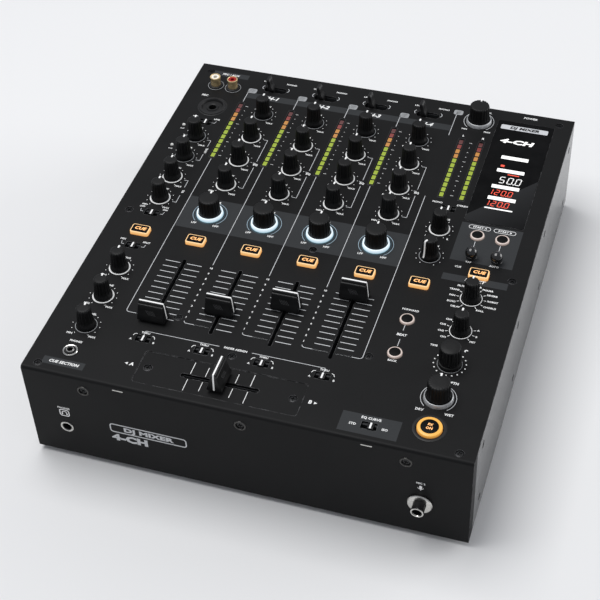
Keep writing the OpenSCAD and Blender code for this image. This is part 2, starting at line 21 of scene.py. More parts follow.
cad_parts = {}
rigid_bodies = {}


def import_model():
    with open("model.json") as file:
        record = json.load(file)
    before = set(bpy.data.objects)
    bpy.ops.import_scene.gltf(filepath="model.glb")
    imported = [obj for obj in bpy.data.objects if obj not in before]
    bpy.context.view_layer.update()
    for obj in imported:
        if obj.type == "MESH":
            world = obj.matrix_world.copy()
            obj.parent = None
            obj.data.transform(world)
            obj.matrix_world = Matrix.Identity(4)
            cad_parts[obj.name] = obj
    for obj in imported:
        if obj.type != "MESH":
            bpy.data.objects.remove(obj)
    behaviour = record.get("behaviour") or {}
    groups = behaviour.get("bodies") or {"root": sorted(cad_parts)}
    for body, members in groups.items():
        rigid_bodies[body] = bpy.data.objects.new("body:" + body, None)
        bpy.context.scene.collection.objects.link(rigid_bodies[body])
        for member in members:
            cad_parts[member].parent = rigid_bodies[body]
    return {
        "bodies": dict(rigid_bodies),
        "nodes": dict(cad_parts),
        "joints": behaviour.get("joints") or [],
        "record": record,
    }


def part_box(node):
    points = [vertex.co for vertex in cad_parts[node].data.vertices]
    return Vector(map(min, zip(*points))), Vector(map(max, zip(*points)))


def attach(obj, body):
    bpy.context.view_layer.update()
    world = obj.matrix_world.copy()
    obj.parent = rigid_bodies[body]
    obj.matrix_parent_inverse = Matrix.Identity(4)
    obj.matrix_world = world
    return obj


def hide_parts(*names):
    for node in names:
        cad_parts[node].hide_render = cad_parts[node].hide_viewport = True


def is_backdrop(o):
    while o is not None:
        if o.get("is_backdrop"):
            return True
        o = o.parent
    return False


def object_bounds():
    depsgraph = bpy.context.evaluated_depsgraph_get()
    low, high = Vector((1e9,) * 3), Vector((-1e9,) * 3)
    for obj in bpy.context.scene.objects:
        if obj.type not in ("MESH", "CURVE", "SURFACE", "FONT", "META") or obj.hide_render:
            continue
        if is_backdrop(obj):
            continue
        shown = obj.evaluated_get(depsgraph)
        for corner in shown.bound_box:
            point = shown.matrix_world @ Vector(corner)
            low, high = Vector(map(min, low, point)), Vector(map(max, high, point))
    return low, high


LOG = logging.getLogger("mixer")
MM = 0.001
ROOT = "root"
CHANNELS = range(4)

Point = tuple[float, float]
Colour = tuple[float, float, float]
Inputs = dict[str | int, object]
Mesh = bpy.types.Mesh
Node = bpy.types.Node
Socket = bpy.types.NodeSocket
Tree = bpy.types.NodeTree


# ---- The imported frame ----


@dataclass(frozen=True)
class Span:
    """The box round one solid, in millimetres."""

    low: Vector
    high: Vector

    @property
    def centre(self) -> Vector:
        """The middle of the box."""
        return (self.low + self.high) / 2

    @property
    def size(self) -> Vector:
        """The size of the box."""
        return self.high - self.low


class Frame:
    """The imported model: its boxes in millimetres, and places on the control panel."""

    def __init__(self) -> None:
        """Loads the model and reads the control panel's edges."""
        self.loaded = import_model()
        self.cad_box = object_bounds()
        cover = self.span("top_cover")
        self.left, self.rear, self.front = cover.low.x, cover.high.y, cover.low.y
        self.right = cover.high.x
        self.top = cover.high.z

    def span(self, node: str) -> Span:
        """The box round a whole node."""
        low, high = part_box(node)
        return Span(low / MM, high / MM)

    def place(self, from_left: float, from_rear: float) -> Point:
        """A place on the control panel.

        Args:
            from_left: Distance from the panel's left edge.
            from_rear: Distance from the panel's rear edge.

        Returns:
            The place's x and y in the model's frame.
        """
        return (self.left + from_left, self.rear - from_rear)

    def solids(self, node: str) -> list[Span]:
        """Finds the separate solids in one node.

        Args:
            node: The node's name.

        Returns:
            A box for each solid, from left to right.
        """
        mesh = self.loaded["nodes"][node].data
        ids: dict[tuple[int, int, int], int] = {}
        at = [ids.setdefault(tuple(round(c * 1e6) for c in v.co), len(ids)) for v in mesh.vertices]
        parent = list(range(len(ids)))

        def find(i: int) -> int:
            """The leading point of the solid that holds point i."""
            while parent[i] != i:
                parent[i] = parent[parent[i]]
                i = parent[i]
            return i

        for face in mesh.polygons:
            first = find(at[face.vertices[0]])
            for corner in face.vertices[1:]:
                parent[find(at[corner])] = first
        groups: dict[int, list[Vector]] = {}
        for place, i in ids.items():
            groups.setdefault(find(i), []).append(Vector(place) * 1e-3)
        spans = [
            Span(Vector(min(p[k] for p in g) for k in range(3)),
                 Vector(max(p[k] for p in g) for k in range(3)))
            for g in groups.values()
        ]
        return sorted(spans, key=lambda s: (round(s.centre.x, 1), round(s.centre.y, 1)))


# ---- Meshes ----


def circle(radius: float, steps: int, start: float = 0.0, stop: float = 360.0) -> list[Point]:
    """Points on a circle or an arc of it.

    Args:
        radius: The circle's radius.
        steps: How many parts it has.
        start: The first angle, in degrees from +X.
        stop: The last angle. A full turn leaves the last point out.

    Returns:
        The points, anticlockwise.
    """
    whole = abs(stop - start - 360) < 1e-6
    angles = [math.radians(start + (stop - start) * i / steps) for i in range(steps if whole else steps + 1)]
    return [(radius * math.cos(a), radius * math.sin(a)) for a in angles]


def rounded(width: float, depth: float, radius: float, steps: int = 5) -> list[Point]:
    """The outline of a rectangle with round corners.

    Args:
        width: Size along X.
        depth: Size along Y.
        radius: Radius of the corners.
        steps: Parts of each corner.

    Returns:
        The outline's points, anticlockwise.
    """
    points: list[Point] = []
    for turn, (sx, sy) in enumerate([(1, 1), (-1, 1), (-1, -1), (1, -1)]):
        cx, cy = sx * (width / 2 - radius), sy * (depth / 2 - radius)
        points += [(cx + x, cy + y) for x, y in circle(radius, steps, 90 * turn, 90 * turn + 90)]
    return points


class Form:
    """A mesh in the making, in millimetres."""

    def __init__(self) -> None:
        """Starts with no faces, painting them with the first finish."""
        self.bm = bmesh.new()
        self.paint = 0

    def loft(self, rings: Sequence[Sequence[Vector]], closed: bool = False) -> None:
        """Joins rings of as many points each into a skin with two flat ends.

        Args:
            rings: The rings, bottom to top.
            closed: True joins the last ring to the first, as on a hoop, with no ends.
        """
        rows = [[self.bm.verts.new(p) for p in ring] for ring in rings]
        pairs = list(zip(rows, rows[1:], strict=False)) + ([(rows[-1], rows[0])] if closed else [])
        faces = []
        for lower, upper in pairs:
            for i in range(len(lower)):
                j = (i + 1) % len(lower)
                faces.append(self.bm.faces.new((lower[i], lower[j], upper[j], upper[i])))
        if not closed:
            faces.append(self.bm.faces.new(rows[0][::-1]))
            faces.append(self.bm.faces.new(rows[-1]))
        for face in faces:
            face.material_index = self.paint

    def lathe(
        self, profile: Sequence[Point], at: Sequence[float] = (0, 0, 0), steps: int = 48,
        hoop: bool = False,
        turn: Euler | None = None,
    ) -> None:
        """Turns a profile round an axis.

        Args:
            profile: Points as (radius, height). With hoop, a closed outline that doesn't touch the axis.
            at: Where the axis starts.
            steps: Parts of a full turn.
            hoop: True for a ring with a hole.
            turn: How the axis is tilted from +Z.
        """
        matrix = Matrix.Translation(at) @ (turn or Euler()).to_matrix().to_4x4()
        rings = [[matrix @ Vector((x, y, h)) for x, y in circle(r, steps)] for r, h in profile]
        self.loft(rings, closed=hoop)

    def block(
        self, at: Sequence[float], width: float, depth: float, radius: float,
        levels: Sequence[Point], steps: int = 4, turn: Euler | None = None,
    ) -> None:
        """A block with round corners whose sides step in on the way up.

        Args:
            at: The centre of its foot.
            width: Size along X.
            depth: Size along Y.
            radius: Radius of the upright corners.
            levels: (inset, height) pairs, bottom to top.
            steps: Parts of each corner.
            turn: How the block is tilted about at.
        """
        matrix = Matrix.Translation(at) @ (turn or Euler()).to_matrix().to_4x4()
        rings = []
        for inset, height in levels:
            outline = rounded(width - 2 * inset, depth - 2 * inset, max(radius - inset, 0.02), steps)
            rings.append([matrix @ Vector((x, y, height)) for x, y in outline])
        self.loft(rings)

    def extrude(self, outline: Sequence[Point], start: float, stop: float, matrix: Matrix) -> None:
        """Pulls a flat outline straight out of its plane.

        Args:
            outline: Points in the plane, anticlockwise seen from the pulled side.
            start: Where the pull starts.
            stop: Where it ends.
            matrix: From the outline's plane to the model.
        """
        self.loft([[matrix @ Vector((x, y, z)) for x, y in outline] for z in (start, stop)])

    def band(
        self, at: Sequence[float], inner: float, outer: float, height: float,
        start: float = 0.0, stop: float = 360.0, steps: int = 48,
    ) -> None:
        """A flat printed ring, or an arc of one.

        Args:
            at: The centre of its underside.
            inner: Inner radius.
            outer: Outer radius.
            height: Thickness.
            start: First angle, in degrees from +X.
            stop: Last angle.
            steps: Parts of it.
        """
        section = [(inner, 0.0), (outer, 0.0), (outer, height), (inner, height)]
        whole = abs(stop - start - 360) < 1e-6
        if whole:
            self.lathe(section, at, steps, hoop=True)
            return
        base = Vector(at)
        rings = []
        for i in range(steps + 1):
            a = math.radians(start + (stop - start) * i / steps)
            rings.append([base + Vector((r * math.cos(a), r * math.sin(a), h)) for r, h in section])
        self.loft(rings[::-1])

    def stroke(self, path: Sequence[Point], width: float, low: float, high: float) -> None:
        """A flat printed line of even width along a path.

        Args:
            path: Its corners.
            width: Width of the line.
            low: Height of its underside.
            high: Height of its face.
        """
        rings = []
        for i, here in enumerate(path):
            before, after = path[max(i - 1, 0)], path[min(i + 1, len(path) - 1)]
            into = (Vector(here) - Vector(before)).normalized()
            out = (Vector(after) - Vector(here)).normalized()
            along = (into + out).normalized()
            grow = 1 / max(0.5, along.dot(into if i else out))
            side = Vector((-along.y, along.x)) * width / 2 * grow
            ring = [(here[0] + side.x, here[1] + side.y), (here[0] - side.x, here[1] - side.y)]
            rings.append([Vector((*ring[0], low)), Vector((*ring[1], low)), Vector((*ring[1], high)),
                          Vector((*ring[0], high))])
        self.loft(rings)

    def merge(self, mesh: Mesh, matrix: Matrix = Matrix.Identity(4)) -> None:
        """Adds a copy of a mesh, and removes the mesh.

        Args:
            mesh: The mesh to take in.
            matrix: Where it goes.
        """
        mesh.transform(matrix)
        mesh.polygons.foreach_set("material_index", [self.paint] * len(mesh.polygons))
        self.bm.from_mesh(mesh)
        bpy.data.meshes.remove(mesh)

    def mesh(self, name: str, sharp: float = 35.0) -> Mesh:
        """Closes the form into a mesh, still in millimetres.

        Args:
            name: The mesh's name.
            sharp: Edges that turn by more than this many degrees stay sharp.

        Returns:
            The mesh, with faces that point outwards.
        """
        bmesh.ops.recalc_face_normals(self.bm, faces=self.bm.faces)
        made = bpy.data.meshes.new(name)
        self.bm.to_mesh(made)
        self.bm.free()
        shade(made, sharp)
        return made


def shade(mesh: Mesh, sharp: float) -> None:
    """Shades a mesh smooth but for its sharp edges."""
    mesh.shade_smooth()
    mesh.set_sharp_from_angle(angle=math.radians(sharp))


# ---- Node trees ----


class NodeMaker:
    """Adds and links nodes in one tree."""

    def __init__(self, tree: Tree) -> None:
        """Keeps the tree."""
        self.tree = tree

    def add(self, kind: str, inputs: Inputs | None = None, **settings: object) -> Node:
        """Adds a node.

        Args:
            kind: The node's type.
            inputs: A value or another node's socket for each named or numbered input.
            settings: Its own settings.

        Returns:
            The node.
        """
        node = self.tree.nodes.new(kind)
        for name, value in settings.items():
            setattr(node, name, value)
        self.fill(node, inputs or {})
        return node

    def feed(self, socket: Socket, value: object) -> None:
        """Links a socket to another, or gives it a plain value."""
        if isinstance(value, bpy.types.NodeSocket):
            self.tree.links.new(value, socket)
        elif isinstance(value, tuple) and len(value) == 3 and socket.type == "RGBA":
            socket.default_value = (*value, 1.0)
        else:
            socket.default_value = value

    def fill(self, node: Node, inputs: Inputs) -> None:
        """Feeds several inputs of a node."""
        for key, value in inputs.items():
            self.feed(node.inputs[key], value)

    def maths(self, operation: str, *values: object, clamp: bool = False) -> Socket:
        """One sum on numbers."""
        return self.add("ShaderNodeMath", dict(enumerate(values)), operation=operation,
                        use_clamp=clamp).outputs[0]

    def times(self, a: object, b: object, clamp: bool = False) -> Socket:
        """One number times another."""
        return self.maths("MULTIPLY", a, b, clamp=clamp)

    def spread(self, value: object, low: object, high: object, start: float = 0.0,
               stop: float = 1.0) -> Socket:
        """Maps a value from one range to another, held at its ends."""
        ends = {"Value": value, "From Min": low, "From Max": high, "To Min": start, "To Max": stop}
        return self.add("ShaderNodeMapRange", ends, clamp=True).outputs["Result"]

    def mix(self, share: object, a: object, b: object) -> Socket:
        """Mixes two colours."""
        return self.add("ShaderNodeMix", {0: share, 6: a, 7: b}, data_type="RGBA").outputs[2]

    def place(self) -> Socket:
        """The place on the piece."""
        return self.add("ShaderNodeTexCoord").outputs["Object"]

    def parts(self, vector: Socket) -> Sequence[Socket]:
        """A vector's X, Y and Z."""
        return self.add("ShaderNodeSeparateXYZ", {0: vector}).outputs

    def upward(self) -> Socket:
        """How far the surface faces up."""
        return self.parts(self.add("ShaderNodeNewGeometry").outputs["Normal"])[2]

    def noise(self, place: Socket, scale: object, detail: float, roughness: float = 0.5) -> Socket:
        """A noise at a place."""
        given = {"Vector": place, "Scale": scale, "Detail": detail, "Roughness": roughness}
        return self.add("ShaderNodeTexNoise", given).outputs["Fac"]

    def group(self, effect: Effect, **inputs: float) -> Sequence[Socket]:
        """Places a shared effect with its own values, and gives its outputs."""
        named = {name.title(): value for name, value in inputs.items()}
        return self.add("ShaderNodeGroup", node_tree=EFFECTS.get(effect), inputs=named).outputs


class Effect(Enum):
    """The shader node groups that several finishes share."""

    GRAIN = "grain"
    WEAR = "wear"
    DUST = "dust"
    PATCH = "patch"
    BRUSHING = "brushing"


class Effects:
    """Builds each shared shader node group once."""

    def __init__(self) -> None:
        """Starts with no group built."""
        self.built: dict[Effect, Tree] = {}

    def get(self, effect: Effect) -> Tree:
        """An effect's group, built the first time."""
        if effect not in self.built:
            self.built[effect] = getattr(self, effect.value)()
        return self.built[effect]

    def start(self, name: str, inputs: dict[str, float]) -> tuple[NodeMaker, Sequence[Socket]]:
        """Starts a group with these number inputs and their usual values."""
        tree = bpy.data.node_groups.new(name, "ShaderNodeTree")
        for key, value in inputs.items():
            tree.interface.new_socket(key, in_out="INPUT",
                                      socket_type="NodeSocketFloat").default_value = value
        maker = NodeMaker(tree)
        return maker, maker.add("NodeGroupInput").outputs

    def end(self, maker: NodeMaker, outputs: dict[str, Socket]) -> Tree:
        """Ends a group with these number outputs."""
        for key in outputs:
            maker.tree.interface.new_socket(key, in_out="OUTPUT", socket_type="NodeSocketFloat")
        maker.add("NodeGroupOutput", outputs)
        return maker.tree

    def grain(self) -> Tree:
        """Fine surface grain and a slow mottle, from two noises and a cell pattern."""
        m, given = self.start("fine_grain", {"Scale": 1000.0, "Contrast": 0.5})
        place, scale = m.place(), given["Scale"]
        cells = m.add("ShaderNodeTexVoronoi", {"Vector": place, "Scale": scale}).outputs["Distance"]
        fine = m.noise(place, m.times(scale, 0.45), 4.0)
        centred = m.maths("SUBTRACT", m.noise(place, 14.0, 5.0, 0.6), 0.5)
        mottle = m.maths("MULTIPLY_ADD", centred, given["Contrast"], 0.5, clamp=True)
        return self.end(m, {"Height": m.maths("ADD", m.times(cells, 0.6), fine), "Mottle": mottle})

    def wear(self) -> Tree:
        """Rubbed edges: compares the true normal with a rounded one, and breaks the edge up with noise."""
        m, given = self.start("edge_wear", {"Width": 0.0004, "Amount": 0.5})
        rounder = m.add("ShaderNodeBevel", {"Radius": given["Width"]}, samples=3).outputs[0]
        normal = m.add("ShaderNodeNewGeometry").outputs["Normal"]
        same = m.add("ShaderNodeVectorMath", {0: rounder, 1: normal},
                     operation="DOT_PRODUCT").outputs["Value"]
        broken = m.spread(m.noise(m.place(), 160.0, 6.0, 0.7), 0.42, 0.62)
        worn = m.times(m.spread(same, 0.995, 0.86), broken)
        return self.end(m, {"Mask": m.times(worn, given["Amount"], clamp=True)})

    def dust(self) -> Tree:
        """Dust on faces that look up: sparse specks over a thin film."""
        m, given = self.start("settled_dust", {"Amount": 0.1, "Scale": 900.0})
        place = m.place()
        specks = m.spread(m.noise(place, given["Scale"], 2.0), 0.66, 0.76)
        both = m.maths("ADD", specks, m.times(m.noise(place, 22.0, 4.0), 0.35))
        laid = m.times(both, m.spread(m.upward(), 0.5, 1.0))
        return self.end(m, {"Mask": m.times(laid, given["Amount"])})

    def patch(self) -> Tree:
        """A printed rectangle, its sides in metres, on faces that look up."""
        m, given = self.start("printed_patch", {"Left": 0.0, "Right": 0.01, "Near": 0.0, "Far": 0.01})
        parts = m.parts(m.place())
        mask = m.maths("GREATER_THAN", m.upward(), 0.9)
        for axis, low, high in ((0, "Left", "Right"), (1, "Near", "Far")):
            above = m.maths("GREATER_THAN", parts[axis], given[low])
            mask = m.times(mask, m.times(above, m.maths("LESS_THAN", parts[axis], given[high])))
        return self.end(m, {"Mask": mask})

    def brushing(self) -> Tree:
        """Fine turned lines and soft stains on bare metal."""
        m, given = self.start("brushed_lines", {"Scale": 1500.0})
        place = m.place()
        thin = m.add("ShaderNodeMapping", {"Vector": place, "Scale": (0.08, 0.08, 1.0)}).outputs[0]
        return self.end(m, {"Lines": m.noise(thin, given["Scale"], 3.0), "Stain": m.noise(place, 240.0,
                                                                                          4.0)})


EFFECTS = Effects()


# ---- Geometry Nodes ----


class Pattern(Enum):
    """The rules that repeat or shape a piece."""

    SCATTER = "scatter"
    ROWS = "rows"
    ARCS = "arcs"
    FLUTES = "flutes"


class Patterns:
    """Geometry Nodes trees, each built once, and the run that turns one into a plain mesh."""

    def __init__(self) -> None:
        """Starts with no tree built."""
        self.trees: dict[Pattern, Tree] = {}

    def start(self, pattern: Pattern, **wanted: object) -> tuple[NodeMaker, Sequence[Socket]]:
        """Starts a tree that takes a mesh and gives one.

        Args:
            pattern: Which rule it is.
            wanted: A usual value for each other input, or the kind of data block that it takes.

        Returns:
            A maker for the tree, and its inputs.
        """
        tree = bpy.data.node_groups.new(f"mixer_{pattern.value}", "GeometryNodeTree")
        for way in ("INPUT", "OUTPUT"):
            tree.interface.new_socket("Geometry", in_out=way, socket_type="NodeSocketGeometry")
        kinds = {int: "Int", float: "Float", tuple: "Vector"}
        for name, value in wanted.items():
            kind = value if isinstance(value, str) else kinds[type(value)]
            made = tree.interface.new_socket(name, in_out="INPUT", socket_type=f"NodeSocket{kind}")
            if not isinstance(value, str):
                made.default_value = value
        maker = NodeMaker(tree)
        return maker, maker.add("NodeGroupInput").outputs

    def dress(self, maker: NodeMaker, geometry: Socket, finish: Socket) -> Socket:
        """Makes instances real and gives them a finish."""
        real = maker.add("GeometryNodeRealizeInstances", {0: geometry}).outputs[0]
        return maker.add("GeometryNodeSetMaterial", {"Geometry": real, "Material": finish}).outputs[0]

    def end(self, maker: NodeMaker, given: Sequence[Socket], repeated: Socket) -> Tree:
        """Ends a tree that puts something on each of its points."""
        put = self.put(maker, given["Geometry"], repeated)
        maker.add("NodeGroupOutput", {0: self.dress(maker, put, given["Finish"])})
        return maker.tree

    def put(self, maker: NodeMaker, points: Socket, shape: Socket, turn: Socket | None = None) -> Socket:
        """Puts a shape on points, turned by an Euler turn."""
        inputs = {"Points": points, "Instance": shape}
        if turn:
            inputs["Rotation"] = maker.add("FunctionNodeEulerToRotation", {0: turn}).outputs[0]
        return maker.add("GeometryNodeInstanceOnPoints", inputs).outputs[0]

    def shape(self, maker: NodeMaker, holder: Socket) -> Socket:
        """The geometry of an object."""
        return maker.add("GeometryNodeObjectInfo", {"Object": holder}).outputs["Geometry"]

    def scatter(self) -> Tree:
        """Puts the shape on each point, turned as the point's turn attribute says."""
        m, given = self.start(Pattern.SCATTER, Shape="Object", Finish="Material")
        turn = m.add("GeometryNodeInputNamedAttribute", {"Name": "turn"},
                     data_type="FLOAT_VECTOR").outputs[0]
        put = self.put(m, given["Geometry"], self.shape(m, given["Shape"]), turn)
        m.add("NodeGroupOutput", {0: self.dress(m, put, given["Finish"])})
        return m.tree

    def rows(self) -> Tree:
        """Puts a straight row of the shape at each point."""
        m, given = self.start(Pattern.ROWS, Shape="Object", Finish="Material", Count=10, Step=(0.0, 1.0,
                                                                                               0.0))
        line = m.add("GeometryNodeMeshLine", {"Count": given["Count"], "Offset": given["Step"]}).outputs[0]
        return self.end(m, given, self.put(m, line, self.shape(m, given["Shape"])))

    def arcs(self) -> Tree:
        """Puts an arc of the shape round each point, counted clockwise from +Y as on a dial."""
        m, given = self.start(Pattern.ARCS, Shape="Object", Finish="Material", Count=11, Radius=10.0,
                              First=-2.6,
                              Step=0.52)
        line = m.add("GeometryNodeMeshLine", {"Count": given["Count"]}).outputs[0]
        index = m.add("GeometryNodeInputIndex").outputs[0]
        angle = m.maths("MULTIPLY_ADD", index, given["Step"], given["First"])
        across, ahead = (m.times(m.maths(wave, angle), given["Radius"]) for wave in ("SINE", "COSINE"))
        place = m.add("ShaderNodeCombineXYZ", {0: across, 1: ahead, 2: 0.0}).outputs[0]
        moved = m.add("GeometryNodeSetPosition", {"Geometry": line, "Position": place}).outputs[0]
        turn = m.add("ShaderNodeCombineXYZ", {2: m.times(angle, -1.0)}).outputs[0]
        return self.end(m, given, self.put(m, moved, self.shape(m, given["Shape"]), turn))

    def flutes(self) -> Tree:
        """Cuts upright flutes into a turned grip, fading out at both ends, and joins on its pointer."""
        m, given = self.start(Pattern.FLUTES, Pointer="Object", Finish="Material", Ink="Material",
                              Count=16.0,
                              Depth=0.3, Low=3.0, High=15.0)
        x, y, z = m.parts(m.add("GeometryNodeInputPosition").outputs[0])
        turned = m.times(m.maths("ARCTAN2", x, y), m.times(given["Count"], 0.5))
        wave = m.maths("ABSOLUTE", m.maths("SINE", turned))
        groove = m.maths("SUBTRACT", 1.0, m.maths("POWER", wave, 0.6))
        rise = m.spread(z, given["Low"], m.maths("ADD", given["Low"], 1.6))
        fall = m.spread(z, given["High"], m.maths("SUBTRACT", given["High"], 0.9))
        cut = m.times(m.times(groove, given["Depth"]), m.times(rise, fall))
        flat = m.add("ShaderNodeCombineXYZ", {0: x, 1: y, 2: 0.0}).outputs[0]
        out = m.add("ShaderNodeVectorMath", {0: flat}, operation="NORMALIZE").outputs[0]
        back = m.add("ShaderNodeVectorMath", {0: out, "Scale": m.times(cut, -1.0)},
                     operation="SCALE").outputs[0]
        grip = m.add("GeometryNodeSetPosition", {"Geometry": given["Geometry"], "Offset": back}).outputs[0]
        body = m.add("GeometryNodeSetMaterial", {"Geometry": grip, "Material": given["Finish"]}).outputs[0]
        inked = self.dress(m, self.shape(m, given["Pointer"]), given["Ink"])
        whole = m.add("GeometryNodeJoinGeometry")
        for piece in (inked, body):
            m.tree.links.new(piece, whole.inputs[0])
        m.add("NodeGroupOutput", {0: whole.outputs[0]})
        return m.tree

    def run(self, pattern: Pattern, base: Mesh, name: str, **inputs: object) -> Mesh:
        """Runs one rule on a mesh.

        Args:
            pattern: The rule.
            base: The mesh it starts from, which is removed.
            name: The new mesh's name.
            inputs: A value for each of the tree's inputs. A Form stands for the object that is repeated.

        Returns:
            The plain mesh that the rule makes.
        """
        if pattern not in self.trees:
            self.trees[pattern] = getattr(self, pattern.value)()
        tree = self.trees[pattern]
        holders = []
        for key, value in inputs.items():
            if isinstance(value, Form):
                holder = bpy.data.objects.new(f"{name}_{key}", value.mesh(f"{name}_{key}"))
                bpy.context.scene.collection.objects.link(holder)
                holders.append(holder)
                inputs[key] = holder
        maker = bpy.data.objects.new(name, base)
        bpy.context.scene.collection.objects.link(maker)
        modifier = maker.modifiers.new(pattern.value, "NODES")
        modifier.node_group = tree
        for item in tree.interface.items_tree:
            if item.in_out == "INPUT" and item.name.lower() in inputs:
                modifier[item.identifier] = inputs[item.name.lower()]
        graph = bpy.context.evaluated_depsgraph_get()
        made = bpy.data.meshes.new_from_object(maker.evaluated_get(graph), depsgraph=graph)
        made.name = name
        maker.modifiers.remove(modifier)
        for holder in (maker, *holders):
            used = holder.data
            bpy.data.objects.remove(holder)
            bpy.data.meshes.remove(used)
        shade(made, 40.0)
        return made


PATTERNS = Patterns()


def spots(points: Iterable[Sequence[float]], turns: Sequence[Euler] | None = None) -> Mesh:
    """A mesh of loose points for a pattern.

    Args:
        points: Where they are.
        turns: How the shape on each is turned. None leaves them all upright.

    Returns:
        The mesh.
    """
    places = [tuple(p) for p in points]
    mesh = bpy.data.meshes.new("spots")
    mesh.from_pydata(places, [], [])
    turn = mesh.attributes.new("turn", "FLOAT_VECTOR", "POINT")
    angles = turns or [Euler()] * len(places)
    turn.data.foreach_set("vector", [a for e in angles for a in e])
    return mesh


# ---- Finishes ----


@dataclass(frozen=True)
class Finish:
    """A surface finish. Each kind says what drives its colour, roughness and relief."""

    name: str

    def material(self) -> bpy.types.Material:
        """The Blender material for this finish, built the first time it is asked for."""
        known = bpy.data.materials.get(self.name)
        if known:
            return known
        made = bpy.data.materials.new(self.name)
        made.use_nodes = True
        made.node_tree.nodes.clear()
        maker = NodeMaker(made.node_tree)
        shader = maker.add("ShaderNodeBsdfPrincipled")
        maker.add("ShaderNodeOutputMaterial", {"Surface": shader.outputs[0]})
        maker.fill(shader, self.inputs(maker))
        return made

    def inputs(self, m: NodeMaker) -> Inputs:
        """What feeds the shader's inputs, made with the material's node maker."""
        raise NotImplementedError

    def tint(self, scale: float, lift: float = 0.0) -> Colour:
        """The finish's own colour, made lighter or darker."""
        return tuple(min(1.0, c * scale + lift) for c in self.colour)

    def relief(self, m: NodeMaker, height: Socket, strength: float, depth: float) -> Socket:
        """A normal from a height, with the depth in metres."""
        return m.add("ShaderNodeBump", {"Strength": strength, "Distance": depth,
                                        "Height": height}).outputs[0]


@dataclass(frozen=True)
class PowderCoat(Finish):
    """Dark textured powder coat on sheet steel, with rubbed edges, dust and lighter patches."""

    colour: Colour
    roughness: Point = (0.44, 0.58)
    grain: float = 2600.0
    wear: float = 0.5
    dust: float = 0.05
    gloss: float = 0.12
    coat: float = 0.0
    patches: tuple[tuple[float, float, float, float], ...] = ()
    patch_colour: Colour = (0.032, 0.034, 0.036)
    steel: Colour = (0.34, 0.34, 0.35)
    dust_colour: Colour = (0.5, 0.48, 0.45)

    def inputs(self, m: NodeMaker) -> Inputs:
        """Mottled coat, printed patches, bare steel at worn edges and dust on top."""
        grain = m.group(Effect.GRAIN, scale=self.grain, contrast=1.2)
        base = m.mix(grain["Mottle"], self.tint(0.75), self.tint(1.35))
        for left, near, right, far in self.patches:
            inside = m.group(Effect.PATCH, left=left * MM, right=right * MM, near=near * MM,
                             far=far * MM)[0]
            base = m.mix(inside, base, self.patch_colour)
        base = m.mix(m.group(Effect.WEAR, width=0.0006, amount=self.wear)[0], base, self.steel)
        dust = m.group(Effect.DUST, amount=self.dust, scale=1400.0)[0]
        rough = m.spread(grain["Mottle"], 0.2, 0.8, *self.roughness)
        return {
            "Base Color": m.mix(dust, base, self.dust_colour),
            "Roughness": m.maths("ADD", rough, m.times(dust, 0.5), clamp=True),
            "Specular IOR Level": self.gloss,
            "Coat Weight": self.coat,
            "Coat Roughness": 0.25,
            "Normal": self.relief(m, grain["Height"], 0.22, 0.00012),
        }


@dataclass(frozen=True)
class SoftTouch(Finish):
    """Moulded plastic or rubber: a fine grain, handling shine and dust in the grain."""

    colour: Colour
    roughness: Point = (0.5, 0.68)
    grain: float = 3200.0
    depth: float = 0.00008
    dust: float = 0.03
    shine: float = 0.4
    gloss: float = 0.3

    def inputs(self, m: NodeMaker) -> Inputs:
        """Even colour with a slow mottle, and edges polished by fingers."""
        grain = m.group(Effect.GRAIN, scale=self.grain, contrast=1.0)
        worn = m.group(Effect.WEAR, width=0.0005, amount=self.shine)[0]
        base = m.mix(worn, m.mix(grain["Mottle"], self.colour, self.tint(1.3, 0.001)), self.tint(2.2,
                                                                                                 0.01))
        dust = m.group(Effect.DUST, amount=self.dust, scale=1800.0)[0]
        rough = m.spread(grain["Mottle"], 0.2, 0.8, *self.roughness)
        return {
            "Base Color": m.mix(dust, base, (0.42, 0.4, 0.38)),
            "Roughness": m.maths("SUBTRACT", rough, m.times(worn, 0.2), clamp=True),
            "Specular IOR Level": self.gloss,
            "Normal": self.relief(m, grain["Height"], 0.25, self.depth),
        }


@dataclass(frozen=True)
class Ink(Finish):
    """Screen-printed ink, thin in places."""

    colour: Colour
    # Emission strength. Lit legends and screen marks glow with their own light; on plain print a small glow
    # is painted brightness.
    glow: float = 0.0

    def inputs(self, m: NodeMaker) -> Inputs:
        """Breaks the ink's colour up a little where the coat's grain shows through."""
        grain = m.group(Effect.GRAIN, scale=3000.0, contrast=1.4)
        base = m.mix(m.spread(grain["Height"], 0.35, 1.0, 0.0, 0.35), self.colour, self.tint(0.55))
        fed = {"Base Color": base, "Roughness": m.spread(grain["Mottle"], 0.2, 0.8, 0.42, 0.6)}
        return fed | {"Emission Color": base, "Emission Strength": self.glow} if self.glow else fed


@dataclass(frozen=True)
class Plated(Finish):
    """Plated or bare metal with fine lines from turning and a few stains."""

    colour: Colour
    roughness: Point = (0.14, 0.34)
    lines: float = 1500.0
    metal: float = 1.0

    def inputs(self, m: NodeMaker) -> Inputs:
        """Metal that dulls along its lines and darkens in its stains."""
        lines, stain = m.group(Effect.BRUSHING, scale=self.lines)
        return {
            "Base Color": m.mix(m.spread(stain, 0.5, 0.75), self.colour, self.tint(0.62)),
            "Roughness": m.spread(lines, 0.3, 0.7, *self.roughness),
            "Metallic": self.metal,
            "Normal": self.relief(m, lines, 0.12, 0.00004),
        }


